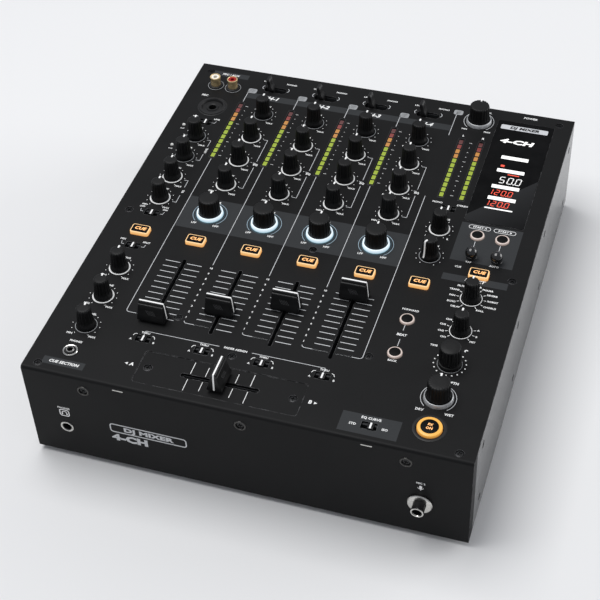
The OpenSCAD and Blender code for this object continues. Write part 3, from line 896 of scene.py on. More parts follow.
@dataclass(frozen=True)
class Lit(Finish):
    """Translucent plastic lit from within, coloured by height or by how far along the panel it is."""

    axis: int
    stops: tuple[tuple[float, Colour], ...]
    strength: float
    roughness: float = 0.3
    stepped: bool = False
    depth: float = 0.35

    def inputs(self, m: NodeMaker) -> Inputs:
        """Reads the colour off a scale of heights or lengths, in millimetres, and mottles it."""
        low, high = self.stops[0][0], self.stops[-1][0]
        along = m.spread(m.parts(m.place())[self.axis], low * MM, high * MM)
        ramp = m.add("ShaderNodeValToRGB", {0: along})
        scale = ramp.color_ramp
        scale.interpolation = "CONSTANT" if self.stepped else "EASE"
        while len(scale.elements) < len(self.stops):
            scale.elements.new(0.5)
        for element, (at, _colour) in zip(scale.elements, self.stops, strict=True):
            element.position = (at - low) / (high - low)
        for element, (_at, colour) in zip(scale.elements, self.stops, strict=True):
            element.color = (*colour, 1.0)
        mottle = m.group(Effect.GRAIN, scale=1800.0, contrast=1.0)["Mottle"]
        return {
            "Base Color": m.mix(self.depth, ramp.outputs[0], (0.02, 0.02, 0.02)),
            "Emission Color": m.mix(m.spread(mottle, 0.0, 1.0, 0.0, 0.06), ramp.outputs[0],
                                    (0.9, 0.9, 0.9)),
            "Emission Strength": self.strength,
            "Roughness": m.spread(mottle, 0.2, 0.8, self.roughness, self.roughness + 0.15),
        }


@dataclass(frozen=True)
class Gloss(Finish):
    """Polished dark plastic with faint smears, and for some a painted reflection: a lighter tone below a
    slanted line.
    """

    colour: Colour
    roughness: float = 0.06
    coat: float = 0.5
    gloss: float = 0.5
    # The edge of a painted reflection: slope, start and fade. None paints none.
    slant: tuple[float, float, float] | None = None

    def inputs(self, m: NodeMaker) -> Inputs:
        """Dark below, smeared on top. The slant places a painted reflection that is lighter below a slanted
        line: its slope, its start and its fade in millimetres.
        """
        place = m.place()
        smear = m.noise(place, 60.0, 5.0, 0.65)
        base = m.mix(m.spread(smear, 0.4, 0.7), self.colour, self.tint(1.6, 0.002))
        # Painted reflection: below the slanted line the colour lifts to a lighter grey, fading with distance
        # from the line.
        if self.slant:
            slope, start, fade = self.slant
            part = m.parts(place)
            below = m.maths("SUBTRACT", m.maths("MULTIPLY_ADD", part[0], slope, start * MM), part[1])
            painted_reflection = m.times(m.maths("GREATER_THAN", below, 0.0), m.spread(below, 0.0, fade * MM, 1.0, 0.1))
            base = m.mix(painted_reflection, base, (0.022, 0.0225, 0.0235))
        return {
            "Base Color": base,
            "Roughness": m.spread(smear, 0.35, 0.75, self.roughness, self.roughness + 0.12),
            "Specular IOR Level": self.gloss,
            "Coat Weight": self.coat,
            "Coat Roughness": 0.03,
        }


@dataclass(frozen=True)
class Laminate(Finish):
    """A circuit board: solder mask over copper tracks and pads."""

    mask: Colour = (0.006, 0.06, 0.022)
    track: Colour = (0.02, 0.13, 0.05)

    def inputs(self, m: NodeMaker) -> Inputs:
        """Tracks from a brick pattern, pads from cells, and a light weave."""
        place = m.place()
        bricks = {"Vector": place, "Scale": 160.0, "Mortar Size": 0.06, "Brick Width": 1.7}
        tracks = m.add("ShaderNodeTexBrick", bricks).outputs["Fac"]
        cells = m.add("ShaderNodeTexVoronoi", {"Vector": place, "Scale": 190.0}).outputs["Distance"]
        pad = m.spread(cells, 0.16, 0.12)
        return {
            "Base Color": m.mix(pad, m.mix(tracks, self.mask, self.track), (0.42, 0.4, 0.34)),
            "Roughness": m.spread(pad, 0.0, 1.0, 0.32, 0.22),
            "Normal": self.relief(m, tracks, 0.3, 0.00008),
        }


# The white and pale blue inks glow a little: painted brightness on print that nothing lights from within.
WHITE_INK = Ink("white_print", (0.9, 0.9, 0.89), 0.05)
GREY_INK = Ink("grey_print", (0.36, 0.37, 0.38))
PALE_INK = Ink("pale_grey_print", (0.66, 0.67, 0.68))
# The hatch grey also paints a highlight strip under each fader cap's ridge.
HATCH_AND_HIGHLIGHT_INK = Ink("hatch_and_painted_highlight_grey", (0.07, 0.07, 0.072))
# Glowing teal for the painted light spill on the panel round the lit rings.
PAINTED_RING_SPILL = Ink("teal_painted_light_spill", (0.008, 0.024, 0.034), 0.5)
BLUE_INK = Ink("pale_blue_print", (0.34, 0.46, 0.54), 0.1)
KNOB_RUBBER = SoftTouch("knob_soft_touch", (0.004, 0.0041, 0.0043), (0.38, 0.52), shine=0.2, gloss=0.22)
# The pointer ink's glow is painted brightness on plain print.
POINTER_INK = Ink("pointer_white", (0.9, 0.9, 0.89), 0.15)
CAP_PLASTIC = SoftTouch("fader_cap_plastic", (0.005, 0.0051, 0.0053), (0.3, 0.42), 2400.0, 0.00005,
                        shine=0.25, gloss=0.25)
SWITCH_PLASTIC = SoftTouch("switch_black_plastic", (0.006, 0.006, 0.0065), (0.3, 0.45), shine=0.2)
SHADOW_PLASTIC = SoftTouch("dark_socket_plastic", (0.008, 0.008, 0.0085), (0.38, 0.52), shine=0.2)
CONTROL_PLASTIC = SoftTouch("control_housing_plastic", (0.02, 0.021, 0.023), (0.45, 0.6), shine=0.15)
FOOT_RUBBER = SoftTouch("foot_rubber_black", (0.012, 0.012, 0.012), (0.75, 0.9), 1500.0, 0.00015, 0.12,
                        0.1)
CREAM_PLASTIC = SoftTouch("phono_insert_cream", (0.78, 0.74, 0.66), (0.3, 0.42), shine=0.1)
RED_PLASTIC = SoftTouch("phono_insert_red", (0.3, 0.012, 0.01), (0.3, 0.42), shine=0.1)
GOLD = Plated("gold_plate", (0.9, 0.68, 0.36), (0.14, 0.3), metal=0.6)
NICKEL = Plated("nickel_plate", (0.66, 0.65, 0.62), (0.14, 0.32))
SILVER_RING = Plated("silver_ring", (0.5, 0.51, 0.52), (0.3, 0.45), 900.0, 0.4)
BLACK_STEEL = Plated("black_screw_steel", (0.035, 0.035, 0.036), (0.25, 0.45))
CUP_STEEL = Plated("screw_cup_steel", (0.06, 0.058, 0.055), (0.2, 0.4), metal=0.6)
BOARD = Laminate("green_board")
SUPPLY = Laminate("supply_board", (0.16, 0.13, 0.05), (0.24, 0.2, 0.09))


# ---- The workshop ----


class Workshop:
    """Puts finished meshes on the frame's bodies, and reports each piece."""

    def __init__(self, frame: Frame) -> None:
        """Keeps the frame."""
        self.frame = frame
        self.made: list[bpy.types.Object] = []

    def add(
        self, name: str, mesh: Mesh, finishes: Sequence[Finish] = (), body: str = ROOT,
        slot: str | None = None, stands_for: Sequence[str] = (),
    ) -> bpy.types.Object:
        """Makes a piece of a mesh in millimetres.

        Args:
            name: The piece's name.
            mesh: Its mesh, in place.
            finishes: Its finishes, in the order of the mesh's paints. None if a pattern has set them.
            body: The body that it rides on.
            slot: The record's material slot. Not used.
            stands_for: The CAD nodes that it replaces.

        Returns:
            The piece.
        """
        mesh.transform(Matrix.Scale(MM, 4))
        mesh.name = name
        for finish in finishes:
            mesh.materials.append(finish.material())
        piece = bpy.data.objects.new(name, mesh)
        bpy.context.scene.collection.objects.link(piece)
        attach(piece, body)
        if stands_for:
            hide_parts(*stands_for)
        self.made.append(piece)
        LOG.info("made %s on %s with %d faces", name, body, len(mesh.polygons))
        return piece

    def dress(self, node: str, finish: Finish) -> None:
        """Gives a CAD node that stays in view its finish."""
        piece = self.frame.loaded["nodes"][node]
        piece.data.materials.clear()
        piece.data.materials.append(finish.material())
        LOG.info("dressed %s in %s", node, finish.name)


@dataclass
class Maker:
    """A sub-assembly: the workshop that it is made in, and ways to make what repeats."""

    shop: Workshop

    @property
    def frame(self) -> Frame:
        """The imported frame."""
        return self.shop.frame

    def add(
        self, name: str, shape: Form | Print | Mesh, finishes: Sequence[Finish] = (), body: str = ROOT,
        slot: str | None = None, stands_for: Sequence[str] = (),
    ) -> None:
        """Adds a piece in millimetres to the workshop's, as its add says."""
        mesh = shape if isinstance(shape, Mesh) else shape.mesh(name)
        self.shop.add(name, mesh, finishes, body, slot, stands_for)

    def repeat(
        self, name: str, shape: Form, finish: Finish, slot: str, places: Sequence[Sequence[float]],
        turns: Sequence[Euler] | None = None, pattern: Pattern = Pattern.SCATTER,
        stands_for: Sequence[str] = (),
        **sizes: object,
    ) -> None:
        """Adds one piece that holds a shape at each of its places.

        Args:
            name: The piece's name.
            shape: The shape, at the origin.
            finish: Its finish.
            slot: The record's material slot.
            places: Where the shape goes.
            turns: How each is turned. None leaves them all upright.
            pattern: The rule that repeats it.
            stands_for: The CAD nodes that the piece replaces.
            sizes: The rule's own inputs.
        """
        points = spots(places, turns)
        mesh = PATTERNS.run(pattern, points, name, shape=shape, finish=finish.material(), **sizes)
        self.shop.add(name, mesh, slot=slot, stands_for=stands_for)


class Align(Enum):
    """Which part of a word sits on its place."""

    LEFT = "LEFT"
    CENTRE = "CENTER"
    RIGHT = "RIGHT"


@dataclass(frozen=True)
class Lettering:
    """How a word is set: its height, weight, slant and width."""

    size: float
    weight: float = 0.012
    slant: float = 0.0
    width: float = 1.0

    def mesh(self, word: str, align: Align, thickness: float) -> Mesh:
        """Sets a word as a solid mesh in the XY plane.

        Args:
            word: The word.
            align: Which part of it sits at x = 0.
            thickness: How thick the letters are.

        Returns:
            The mesh, in millimetres, centred on its height.
        """
        curve = bpy.data.curves.new(word, "FONT")
        curve.body = word
        curve.size = self.size
        curve.shear = self.slant
        curve.space_character = 1.04
        curve.offset = self.weight * self.size
        curve.extrude = thickness / 2
        curve.resolution_u = 2
        curve.align_x = align.value
        curve.align_y = "CENTER"
        holder = bpy.data.objects.new(word, curve)
        made = bpy.data.meshes.new_from_object(holder)
        bpy.data.objects.remove(holder)
        bpy.data.curves.remove(curve)
        solid = bmesh.new()
        solid.from_mesh(made)
        bmesh.ops.remove_doubles(solid, verts=solid.verts, dist=1e-4)
        solid.to_mesh(made)
        solid.free()
        made.transform(Matrix.Diagonal((self.width, 1.0, 1.0, 1.0)))
        made.materials.clear()
        return made


SMALL = Lettering(2.4, 0.028)
MEDIUM = Lettering(3.1, 0.032, 0.15)
HEADING = Lettering(3.8, 0.038, 0.25, 1.15)
CHANNEL_NAME = Lettering(5.6, 0.04, 0.3, 1.1)


class Print:
    """Words and lines of one ink on one flat face."""

    def __init__(self, matrix: Matrix, thickness: float = 0.05) -> None:
        """Starts a blank print.

        Args:
            matrix: From the print's plane, with x to the right and y up, to the model.
            thickness: How thick the ink is.
        """
        self.form = Form()
        self.matrix = matrix
        self.thickness = thickness

    def word(
        self, text: str, at: Point, style: Lettering = SMALL, align: Align = Align.CENTRE,
        turn: float = 0.0,
    ) -> None:
        """Prints a word.

        Args:
            text: The word.
            at: Where its middle or one of its ends goes.
            style: How it is set.
            align: Which part of it sits at the place.
            turn: How far it is turned, in degrees.
        """
        letters = style.mesh(text, align, self.thickness)
        spin = Matrix.Rotation(math.radians(turn), 4, "Z")
        place = Matrix.Translation((*at, self.thickness / 2 - 0.01))
        self.form.merge(letters, self.matrix @ place @ spin)

    def line(self, path: Sequence[Point], width: float = 0.5) -> None:
        """Prints a line along a path."""
        drawn = Form()
        drawn.stroke(path, width, -0.01, self.thickness - 0.01)
        self.form.merge(drawn.mesh("line"), self.matrix)

    def bar(self, at: Point, width: float, height: float, radius: float = 0.2) -> None:
        """Prints a filled bar with round corners, centred on a place."""
        drawn = Form()
        drawn.block((*at, -0.01), width, height, radius, [(0, 0), (0, self.thickness)])
        self.form.merge(drawn.mesh("bar"), self.matrix)

    def ring(self, at: Point, inner: float, outer: float, start: float = 0.0, stop: float = 360.0) -> None:
        """Prints a ring, or an arc of it, round a place."""
        drawn = Form()
        drawn.band((*at, -0.01), inner, outer, self.thickness, start, stop, 40)
        self.form.merge(drawn.mesh("ring"), self.matrix)

    def pill(self, at: Point, width: float, height: float, line: float = 0.35) -> None:
        """Prints the outline of a bar with round ends."""
        outline = [(at[0] + x, at[1] + y) for x, y in rounded(width, height, height / 2 - 0.01, 6)]
        self.line([*outline, outline[0]], line)

    def arrow(self, at: Point, size: float, turn: float) -> None:
        """Prints a filled arrowhead, pointing up before it is turned."""
        outline = [(0, size * 0.6), (-size / 2, -size * 0.4), (size / 2, -size * 0.4)]
        spin = Matrix.Translation((*at, 0)) @ Matrix.Rotation(math.radians(turn), 4, "Z")
        drawn = Form()
        drawn.extrude(outline, -0.01, self.thickness - 0.01, spin)
        self.form.merge(drawn.mesh("arrow"), self.matrix)

    def mesh(self, name: str) -> Mesh:
        """The whole print as one mesh."""
        return self.form.mesh(name)


def level(z: float) -> Matrix:
    """The plane of a print that faces up at a height."""
    return Matrix.Translation((0, 0, z))


def upright(y: float, facing_front: bool) -> Matrix:
    """The plane of a print on the front or rear panel.

    Args:
        y: Where the panel's face is.
        facing_front: True for the front panel. On the rear panel x runs the other way.

    Returns:
        The matrix: print x and y to the model's x and z.
    """
    turn = Matrix.Rotation(math.radians(90), 4, "X")
    if facing_front:
        return Matrix.Translation((0, y, 0)) @ turn
    return Matrix.Translation((0, y, 0)) @ Matrix.Rotation(math.pi, 4, "Z") @ turn


UP = Euler((0, 0, 0))
TO_FRONT = Euler((math.radians(90), 0, 0))
TO_REAR = Euler((math.radians(-90), 0, 0))
TO_LEFT = Euler((0, math.radians(-90), 0))
TO_RIGHT = Euler((0, math.radians(90), 0))


# ---- Case ----


@dataclass
class Case(Maker):
    """The folded cover, the tub, the crossfader plate, and what is fixed to them."""

    screw_r: float = 2.9
    cup_r: float = 4.5
    sunk: float = 1.5
    tab_size: tuple[float, float] = (8.0, 1.1)
    tab_places: tuple[float, float] = (72.5, 248.4)
    tab_drop: float = 4.0
    seam_from_front: float = 10.3
    seam_low: float = 6.0
    bezel_r: tuple[float, float] = (8.95, 11.6)
    patches: tuple[tuple[float, float, float, float], ...] = (
        (12.5, 7.4, 44.5, 13.6),
        (50.6, 29.8, 226.4, 37.2),
        (51.0, 167.0, 226.0, 203.0),
        (260.0, 142.0, 306.5, 184.5),
        (259.0, 199.6, 307.0, 206.4),
        (12.5, 354.0, 43.5, 360.6),
        (226.5, 346.0, 267.0, 363.0),
    )

    def coat(self) -> PowderCoat:
        """The control panel's finish, with its printed patches in metres' places."""
        spans = []
        for west, behind, east, before in self.patches:
            left, far = self.frame.place(west, behind)
            right, near = self.frame.place(east, before)
            spans.append((left, near, right, far))
        return PowderCoat("panel_powder_coat", (0.0066, 0.0067, 0.007), dust=0.016, patches=tuple(spans))

    def build(self) -> None:
        """Dresses the sheet metal and makes its fixings."""
        self.shop.dress("top_cover", self.coat())
        self.shop.dress("base_chassis", PowderCoat("case_powder_coat", (0.016, 0.0164, 0.017), gloss=0.8,
                                                   coat=0.8))
        self.shop.dress("crossfader_plate", PowderCoat("plate_powder_coat", (0.0062, 0.0063, 0.0066),
                                                       wear=0.8, dust=0.016))
        self.screws()
        self.feet()
        self.trim()

    def screw(self) -> Form:
        """A pan head with a cross recess, its face at z = 0."""
        arm, bar, steps = 1.55, 0.36, 3
        corners = [(arm, -bar), (arm, bar), (bar, bar), (bar, arm), (-bar, arm), (-bar, bar),
                   (-arm, bar), (-arm, -bar), (-bar, -bar), (-bar, -arm), (bar, -arm), (bar, -bar)]
        cross = []
        for here, after in zip(corners, corners[1:] + corners[:1], strict=True):
            cross += [tuple(Vector(here).lerp(Vector(after), k / steps)) for k in range(steps)]
        around = [math.atan2(y, x) for x, y in cross]
        form = Form()
        rings = [
            [Vector((r * math.cos(a), r * math.sin(a), z)) for a in around]
            for r, z in ((1.4, -5.0), (1.4, -1.2), (self.screw_r, -1.2), (self.screw_r, -0.3),
                         (2.65, -0.06), (2.2, 0.0))
        ]
        rings += [[Vector((x * s, y * s, z)) for x, y in cross] for s, z in ((1.0, 0.02), (0.8, -0.75))]
        form.loft(rings)
        return form

    def screws(self) -> None:
        """One screw in each of the case's screw holes, and cups round those on the front."""
        frame, places, turns = self.frame, [], []
        cups: list[Vector] = []
        for n, span in enumerate(frame.solids("case_screws")):
            if abs(span.low.y - frame.front) < self.sunk:
                face, turn = Vector((span.centre.x, span.low.y, span.centre.z)), TO_FRONT
                cups.append(face)
            elif span.high.z > frame.top - 2 * self.sunk:
                face, turn = Vector((span.centre.x, span.centre.y, span.high.z)), UP
            else:
                leftward = span.centre.x < 0
                x = span.low.x if leftward else span.high.x
                face, turn = Vector((x, span.centre.y, span.centre.z)), TO_LEFT if leftward else TO_RIGHT
            spin = Euler((0, 0, math.radians(37 * n))).to_matrix()
            places.append(face)
            turns.append((turn.to_matrix() @ spin).to_euler())
        self.repeat("case_screw_heads", self.screw(), BLACK_STEEL, "black_screw", places, turns,
                    stands_for=["case_screws"])
        cup = Form()
        section = [(3.0, -0.35), (3.3, 0.5), (4.1, 0.55), (self.cup_r, 0.05), (self.cup_r, -0.05),
                   (3.0, -0.5)]
        cup.lathe(section, hoop=True)
        rims = [(c.x, frame.front, c.z) for c in cups]
        self.repeat("front_screw_cups", cup, CUP_STEEL, "black_screw", rims, [TO_FRONT] * len(cups))

    def feet(self) -> None:
        """Four turned rubber feet, each with a recess and its screw."""
        spans = self.frame.solids("feet")
        height = spans[0].high.z
        radius = spans[0].size.x / 2
        foot = Form()
        section = [
            (3.6, height), (radius, height), (radius, height - 0.8), (radius - 0.9, 1.0), (radius - 1.5,
                                                                                           0.2),
            (radius - 2.2, 0.0), (5.6, 0.0), (5.0, 0.4), (4.6, 2.4), (3.6, 2.4),
        ]
        foot.lathe(section, hoop=True, steps=40)
        places = [(s.centre.x, s.centre.y, 0.0) for s in spans]
        self.repeat("rubber_feet", foot, FOOT_RUBBER, "foot_rubber", places, stands_for=["feet"])
        down = [Euler((math.pi, 0, 0))] * len(spans)
        under = [(x, y, 2.0) for x, y, _z in places]
        self.repeat("foot_screw_heads", self.screw(), BLACK_STEEL, "black_screw", under, down)

    def trim(self) -> None:
        """The two locating tabs on the front and the dark bezel round the effect button."""
        frame = self.frame
        tabs = Form()
        wide, tall = self.tab_size
        for from_left in self.tab_places:
            x = frame.place(from_left, 0)[0]
            tabs.block((x, frame.front + 0.05, frame.top - self.tab_drop), wide, tall, 0.5,
                       [(0, 0), (0, 0.35), (0.18, 0.5)], turn=TO_FRONT)
        self.add("front_tabs", tabs, [NICKEL], slot="socket_metal")
        seams = Form()
        for x in (frame.left, frame.right):
            seams.block((x, frame.front + self.seam_from_front, self.seam_low), 0.12, 1.4, 0.04,
                        [(0, 0), (0, frame.top - self.seam_low - 2.0)])
        self.add("side_seams", seams, [SHADOW_PLASTIC], slot="painted_case")
        big = max(frame.solids("round_buttons"), key=lambda s: s.size.x)
        inner, outer = self.bezel_r
        bezel = Form()
        section = [(inner, 0.0), (outer, 0.0), (outer, 0.12), (outer - 0.5, 0.35), (inner + 0.6, 0.12),
                   (inner, -0.6)]
        bezel.lathe(section, (big.centre.x, big.centre.y, frame.top), 64, hoop=True)
        self.add("effect_button_bezel", bezel, [SHADOW_PLASTIC], slot="knob_black")


# ---- Knobs ----


@dataclass(frozen=True)
class KnobStyle:
    """The shape of one kind of knob: its turned profile, flutes and pointer."""

    profile: tuple[Point, ...]
    flutes: int
    depth: float
    fade: tuple[float, float]
    pointer: tuple[Point, ...] = ()
    cap: tuple[float, float] = (0.0, 0.0)
    steps: int = 96


SMALL_KNOB = KnobStyle(
    profile=(
        (2.9, -6.0), (2.9, 0.0), (6.7, 0.0), (6.98, 0.2), (7.0, 1.0), (6.86, 1.6), (6.5, 2.4), (6.15, 3.3),
        (5.95, 4.2), (5.85, 5.2), (5.6, 9.5), (5.38, 14.2), (5.3, 15.2), (5.12, 15.95), (4.75, 16.4),
        (4.2, 16.58),
        (2.5, 16.6),
    ),
    flutes=16,
    depth=0.42,
    fade=(2.8, 18.4),
    pointer=((5.0, 16.9), (5.45, 16.3), (5.62, 15.0), (5.82, 9.5), (6.08, 5.2), (6.3, 3.6), (6.6, 2.7),
             (6.98, 1.6)),
    cap=(4.0, 16.5),
)
LARGE_KNOB = KnobStyle(
    profile=(
        (2.9, -6.0), (2.9, 0.0), (8.2, 0.0), (8.48, 0.2), (8.5, 1.0), (8.42, 1.8), (8.36, 2.8), (8.3, 3.8),
        (8.2, 4.8), (8.05, 9.0), (7.9, 13.2), (7.84, 14.2), (7.7, 14.95), (7.3, 15.4), (6.7, 15.58),
        (3.5, 15.6),
    ),
    flutes=20,
    depth=0.45,
    fade=(3.0, 17.4),
    pointer=((7.5, 15.9), (7.95, 15.3), (8.05, 14.0), (8.2, 9.0), (8.36, 4.8), (8.46, 3.4), (8.5, 2.4),
             (8.54, 1.6)),
    cap=(6.4, 15.5),
    steps=120,
)
RIBBED_KNOB = KnobStyle(
    profile=(
        (2.9, -6.0), (2.9, 0.0), (8.0, 0.0), (8.2, 0.3), (8.2, 1.5), (7.9, 2.1), (6.9, 2.4), (6.8, 3.0),
        (7.6, 3.5),
        (7.75, 4.4), (7.7, 9.0), (7.5, 14.4), (7.4, 15.4), (7.1, 16.1), (6.5, 16.5), (2.5, 16.6),
    ),
    flutes=18,
    depth=0.75,
    fade=(3.2, 16.0),
    steps=108,
)


@dataclass
class Knobs(Maker):
    """Every rotary knob, each on its own body."""

    pointer_w: float = 1.25
    gap: float = 0.7
    ribbed: tuple[str, ...] = ("time_encoder",)
    turned: dict[str, float] = field(default_factory=lambda: {"booth_level_knob": 150.0})

    def blank(self, style: KnobStyle, name: str) -> Mesh:
        """Makes one knob of a style at the origin.

        Args:
            style: The knob's shape.
            name: The mesh's name.

        Returns:
            The fluted knob with its pointer, foot at z = 0.
        """
        body = Form()
        body.lathe(style.profile, steps=style.steps)
        pointer = Form()
        if style.pointer:
            outer = list(style.pointer)
            inner = [(y - 0.55, z) for y, z in reversed(outer[1:])] + [(outer[0][0] - 0.6,
                                                                        outer[0][1] - 0.5)]
            side = Matrix(((0, 0, 1, 0), (1, 0, 0, 0), (0, 1, 0, 0), (0, 0, 0, 1)))
            pointer.extrude(outer + inner, -self.pointer_w / 2, self.pointer_w / 2, side)
            start, height = style.cap
            pointer.block((0, start, height), self.pointer_w, 2.6, 0.3, [(0, 0), (0, 0.3), (0.08, 0.4)])
        low, high = style.fade
        return PATTERNS.run(
            Pattern.FLUTES, body.mesh(name), name, pointer=pointer, finish=KNOB_RUBBER.material(),
            ink=POINTER_INK.material(), count=float(style.flutes), depth=style.depth, low=low, high=high,
        )

    def build(self) -> None:
        """Puts a knob of the right style on each knob body."""
        blanks = {
            "small": self.blank(SMALL_KNOB, "small_knob"),
            "large": self.blank(LARGE_KNOB, "large_knob"),
            "ribbed": self.blank(RIBBED_KNOB, "ribbed_knob"),
        }
        names = [n for n in self.frame.loaded["nodes"] if n.endswith("_knob") or "_knob_" in n]
        for node in sorted([*names, *self.ribbed]):
            span = self.frame.span(node)
            kind = "ribbed" if node in self.ribbed else "large" if span.size.x > 15.5 else "small"
            mesh = blanks[kind].copy()
            spin = Matrix.Rotation(math.radians(self.turned.get(node, 0.0)), 4, "Z")
            centre = Vector((span.low.x + span.high.x, span.low.y + span.high.y, 0)) / 2
            mesh.transform(Matrix.Translation((centre.x, centre.y, self.frame.top + self.gap)) @ spin)
            self.shop.add(f"{node}_grip", mesh, body=node, slot="knob_black", stands_for=[node])
        for mesh in blanks.values():
            bpy.data.meshes.remove(mesh)


# ---- Faders and selectors ----


@dataclass
class Faders(Maker):
    """The channel faders' and the crossfader's caps."""

    width: float = 20.8
    foot: float = 11.0
    gap: float = 2.0
    line_w: float = 1.15
    hatches: int = 5

    def cap(self, name: str) -> Mesh:
        """One cap with its stem, ridge along X, its foot at z = 0."""
        form = Form()
        levels = [
            (self.width - 0.5, self.foot - 0.5, 0.0), (self.width, self.foot, 0.3),
            (self.width, self.foot - 0.1, 1.9),
            (self.width - 0.5, 8.5, 5.0), (self.width - 1.1, 6.4, 9.0), (self.width - 1.7, 5.0, 12.6),
            (self.width - 1.8, 4.75, 12.9), (self.width - 2.0, 3.9, 13.0), (self.width - 2.3, 3.0, 14.5),
            (self.width - 2.6, 2.2, 14.9), (self.width - 3.1, 1.5, 15.0),
        ]
        rings = [[Vector((x, y, z)) for x, y in rounded(w, d, min(0.7, d / 2 - 0.05), 3)] for w, d,
                 z in levels]
        form.loft(rings)
        form.block((0, 0, -9.0), 1.6, 5.0, 0.3, [(0, 0), (0, 9.5)])
        half = self.width / 2
        form.paint = 1
        right = [(half + 0.06, 1.0), (half + 0.06, 1.95), (half - 0.19, 5.0), (half - 0.48, 9.0),
                 (half - 0.78, 12.6),
                 (half - 1.08, 14.5), (half - 1.4, 15.08)]
        within = [(x - 0.45, z - 0.35) for x, z in right]
        outline = right + [(-x, z) for x, z in right[::-1]] + [(-x, z) for x, z in within] + within[::-1]
        side = Matrix(((1, 0, 0, 0), (0, 0, 1, 0), (0, 1, 0, 0), (0, 0, 0, 1)))
        form.extrude(outline, -self.line_w / 2, self.line_w / 2, side)
        form.paint = 2
        slope = Matrix.Rotation(math.radians(75.3), 4, "X")
        for k in range(self.hatches):
            x = (k - (self.hatches - 1) / 2) * 1.25
            at = Matrix.Translation((x, -3.72, 7.0)) @ slope @ Matrix.Rotation(math.radians(32), 4, "Z")
            form.extrude([(-0.14, -2.1), (0.14, -2.1), (0.14, 2.1), (-0.14, 2.1)], -0.25, 0.08, at)
        # Painted highlight: a thin grey strip along each face just below the ridge's step, where the ledge
        # catches the light, in the hatch ink.
        for face in (-1, 1):
            form.block((0, face * 2.44, 12.45), self.width - 2.4, 0.2, 0.05, [(0, 0), (0, 0.3)])
        return form.mesh(name, 28.0)

    def build(self) -> None:
        """Puts a cap on each fader body."""
        places = {f"channel_fader_{c + 1}": 0.0 for c in CHANNELS} | {"crossfader": 90.0}
        blank = self.cap("fader_cap")
        for node, turn in places.items():
            centre = self.frame.span(node).centre
            mesh = blank.copy()
            spin = Matrix.Rotation(math.radians(turn), 4, "Z")
            mesh.transform(Matrix.Translation((centre.x, centre.y, self.frame.top + self.gap)) @ spin)
            self.shop.add(f"{node}_cap", mesh, [CAP_PLASTIC, POINTER_INK, HATCH_AND_HIGHLIGHT_INK], node, "cap_black",
                          [node])
        bpy.data.meshes.remove(blank)


@dataclass
class Selectors(Maker):
    """The input selector levers."""

    tilt: float = 12.0
    pivot_drop: float = 13.0
    lever_h: float = 11.1

    def blade(self, name: str) -> Mesh:
        """One lever with its stem, pivot at the origin: a paddle with a hollow on each side."""
        form = Form()
        form.block((0, 0, -0.5), 3.9, 4.9, 0.6, [(0, 0), (0, 15.5)])
        foot = self.pivot_drop + 1.3
        levels = [(3.4, 6.6, 0.0), (4.5, 7.9, 0.3), (4.6, 8.0, 1.4), (3.0, 8.0, 3.4), (2.7, 7.9, 6.2),
                  (3.3, 7.6, 9.0),
                  (3.0, 7.2, 10.4), (2.0, 6.2, self.lever_h)]
        form.loft([[Vector((x, y, z + foot)) for x, y in rounded(w, d, 0.9, 4)] for w, d, z in levels])
        form.lathe([(1.5, -4.6), (1.5, 4.6)], turn=TO_REAR, steps=20)
        return form.mesh(name, 40.0)

    def build(self) -> None:
        """Puts a lever on each selector body."""
        blank = self.blade("selector_lever")
        for c in CHANNELS:
            node = f"input_selector_{c + 1}"
            span = self.frame.span(node)
            pivot_x = self.frame.span(f"gain_knob_{c + 1}").centre.x - 0.9
            mesh = blank.copy()
            spin = Matrix.Rotation(math.radians(-self.tilt), 4, "Y")
            mesh.transform(Matrix.Translation((pivot_x, span.centre.y,
                                               self.frame.top - self.pivot_drop)) @ spin)
            self.shop.add(f"{node}_lever", mesh, [SWITCH_PLASTIC], node, "knob_black", [node])
        bpy.data.meshes.remove(blank)


# ---- Buttons and switches ----


PEACH = Lit("cue_peach", 2, ((88.0, (0.85, 0.32, 0.05)), (90.2, (1.0, 0.54, 0.18)),
                             (92.0, (1.0, 0.64, 0.3))), 0.68)
AMBER = Lit("effect_amber", 2, ((88.0, (0.5, 0.18, 0.02)), (91.0, (0.8, 0.4, 0.06))), 0.62)
CREAM_LIT = Lit("lit_cream_button", 2, ((88.0, (0.5, 0.34, 0.27)), (90.5, (0.86, 0.72, 0.65))), 0.2)
ORANGE_INK = Ink("orange_legend", (1.0, 0.5, 0.18), 0.8)
KEY_BLACK = SoftTouch("key_face_black", (0.002, 0.002, 0.002), (0.45, 0.6), shine=0.0, dust=0.0, gloss=0.1)
GLOSS_BLACK = Gloss("toggle_gloss_black", (0.006, 0.006, 0.0065), 0.12)
LAMP_WHITE = Lit("lamp_white", 2, ((89.0, (0.5, 0.5, 0.48)), (90.6, (0.85, 0.85, 0.82))), 0.15)


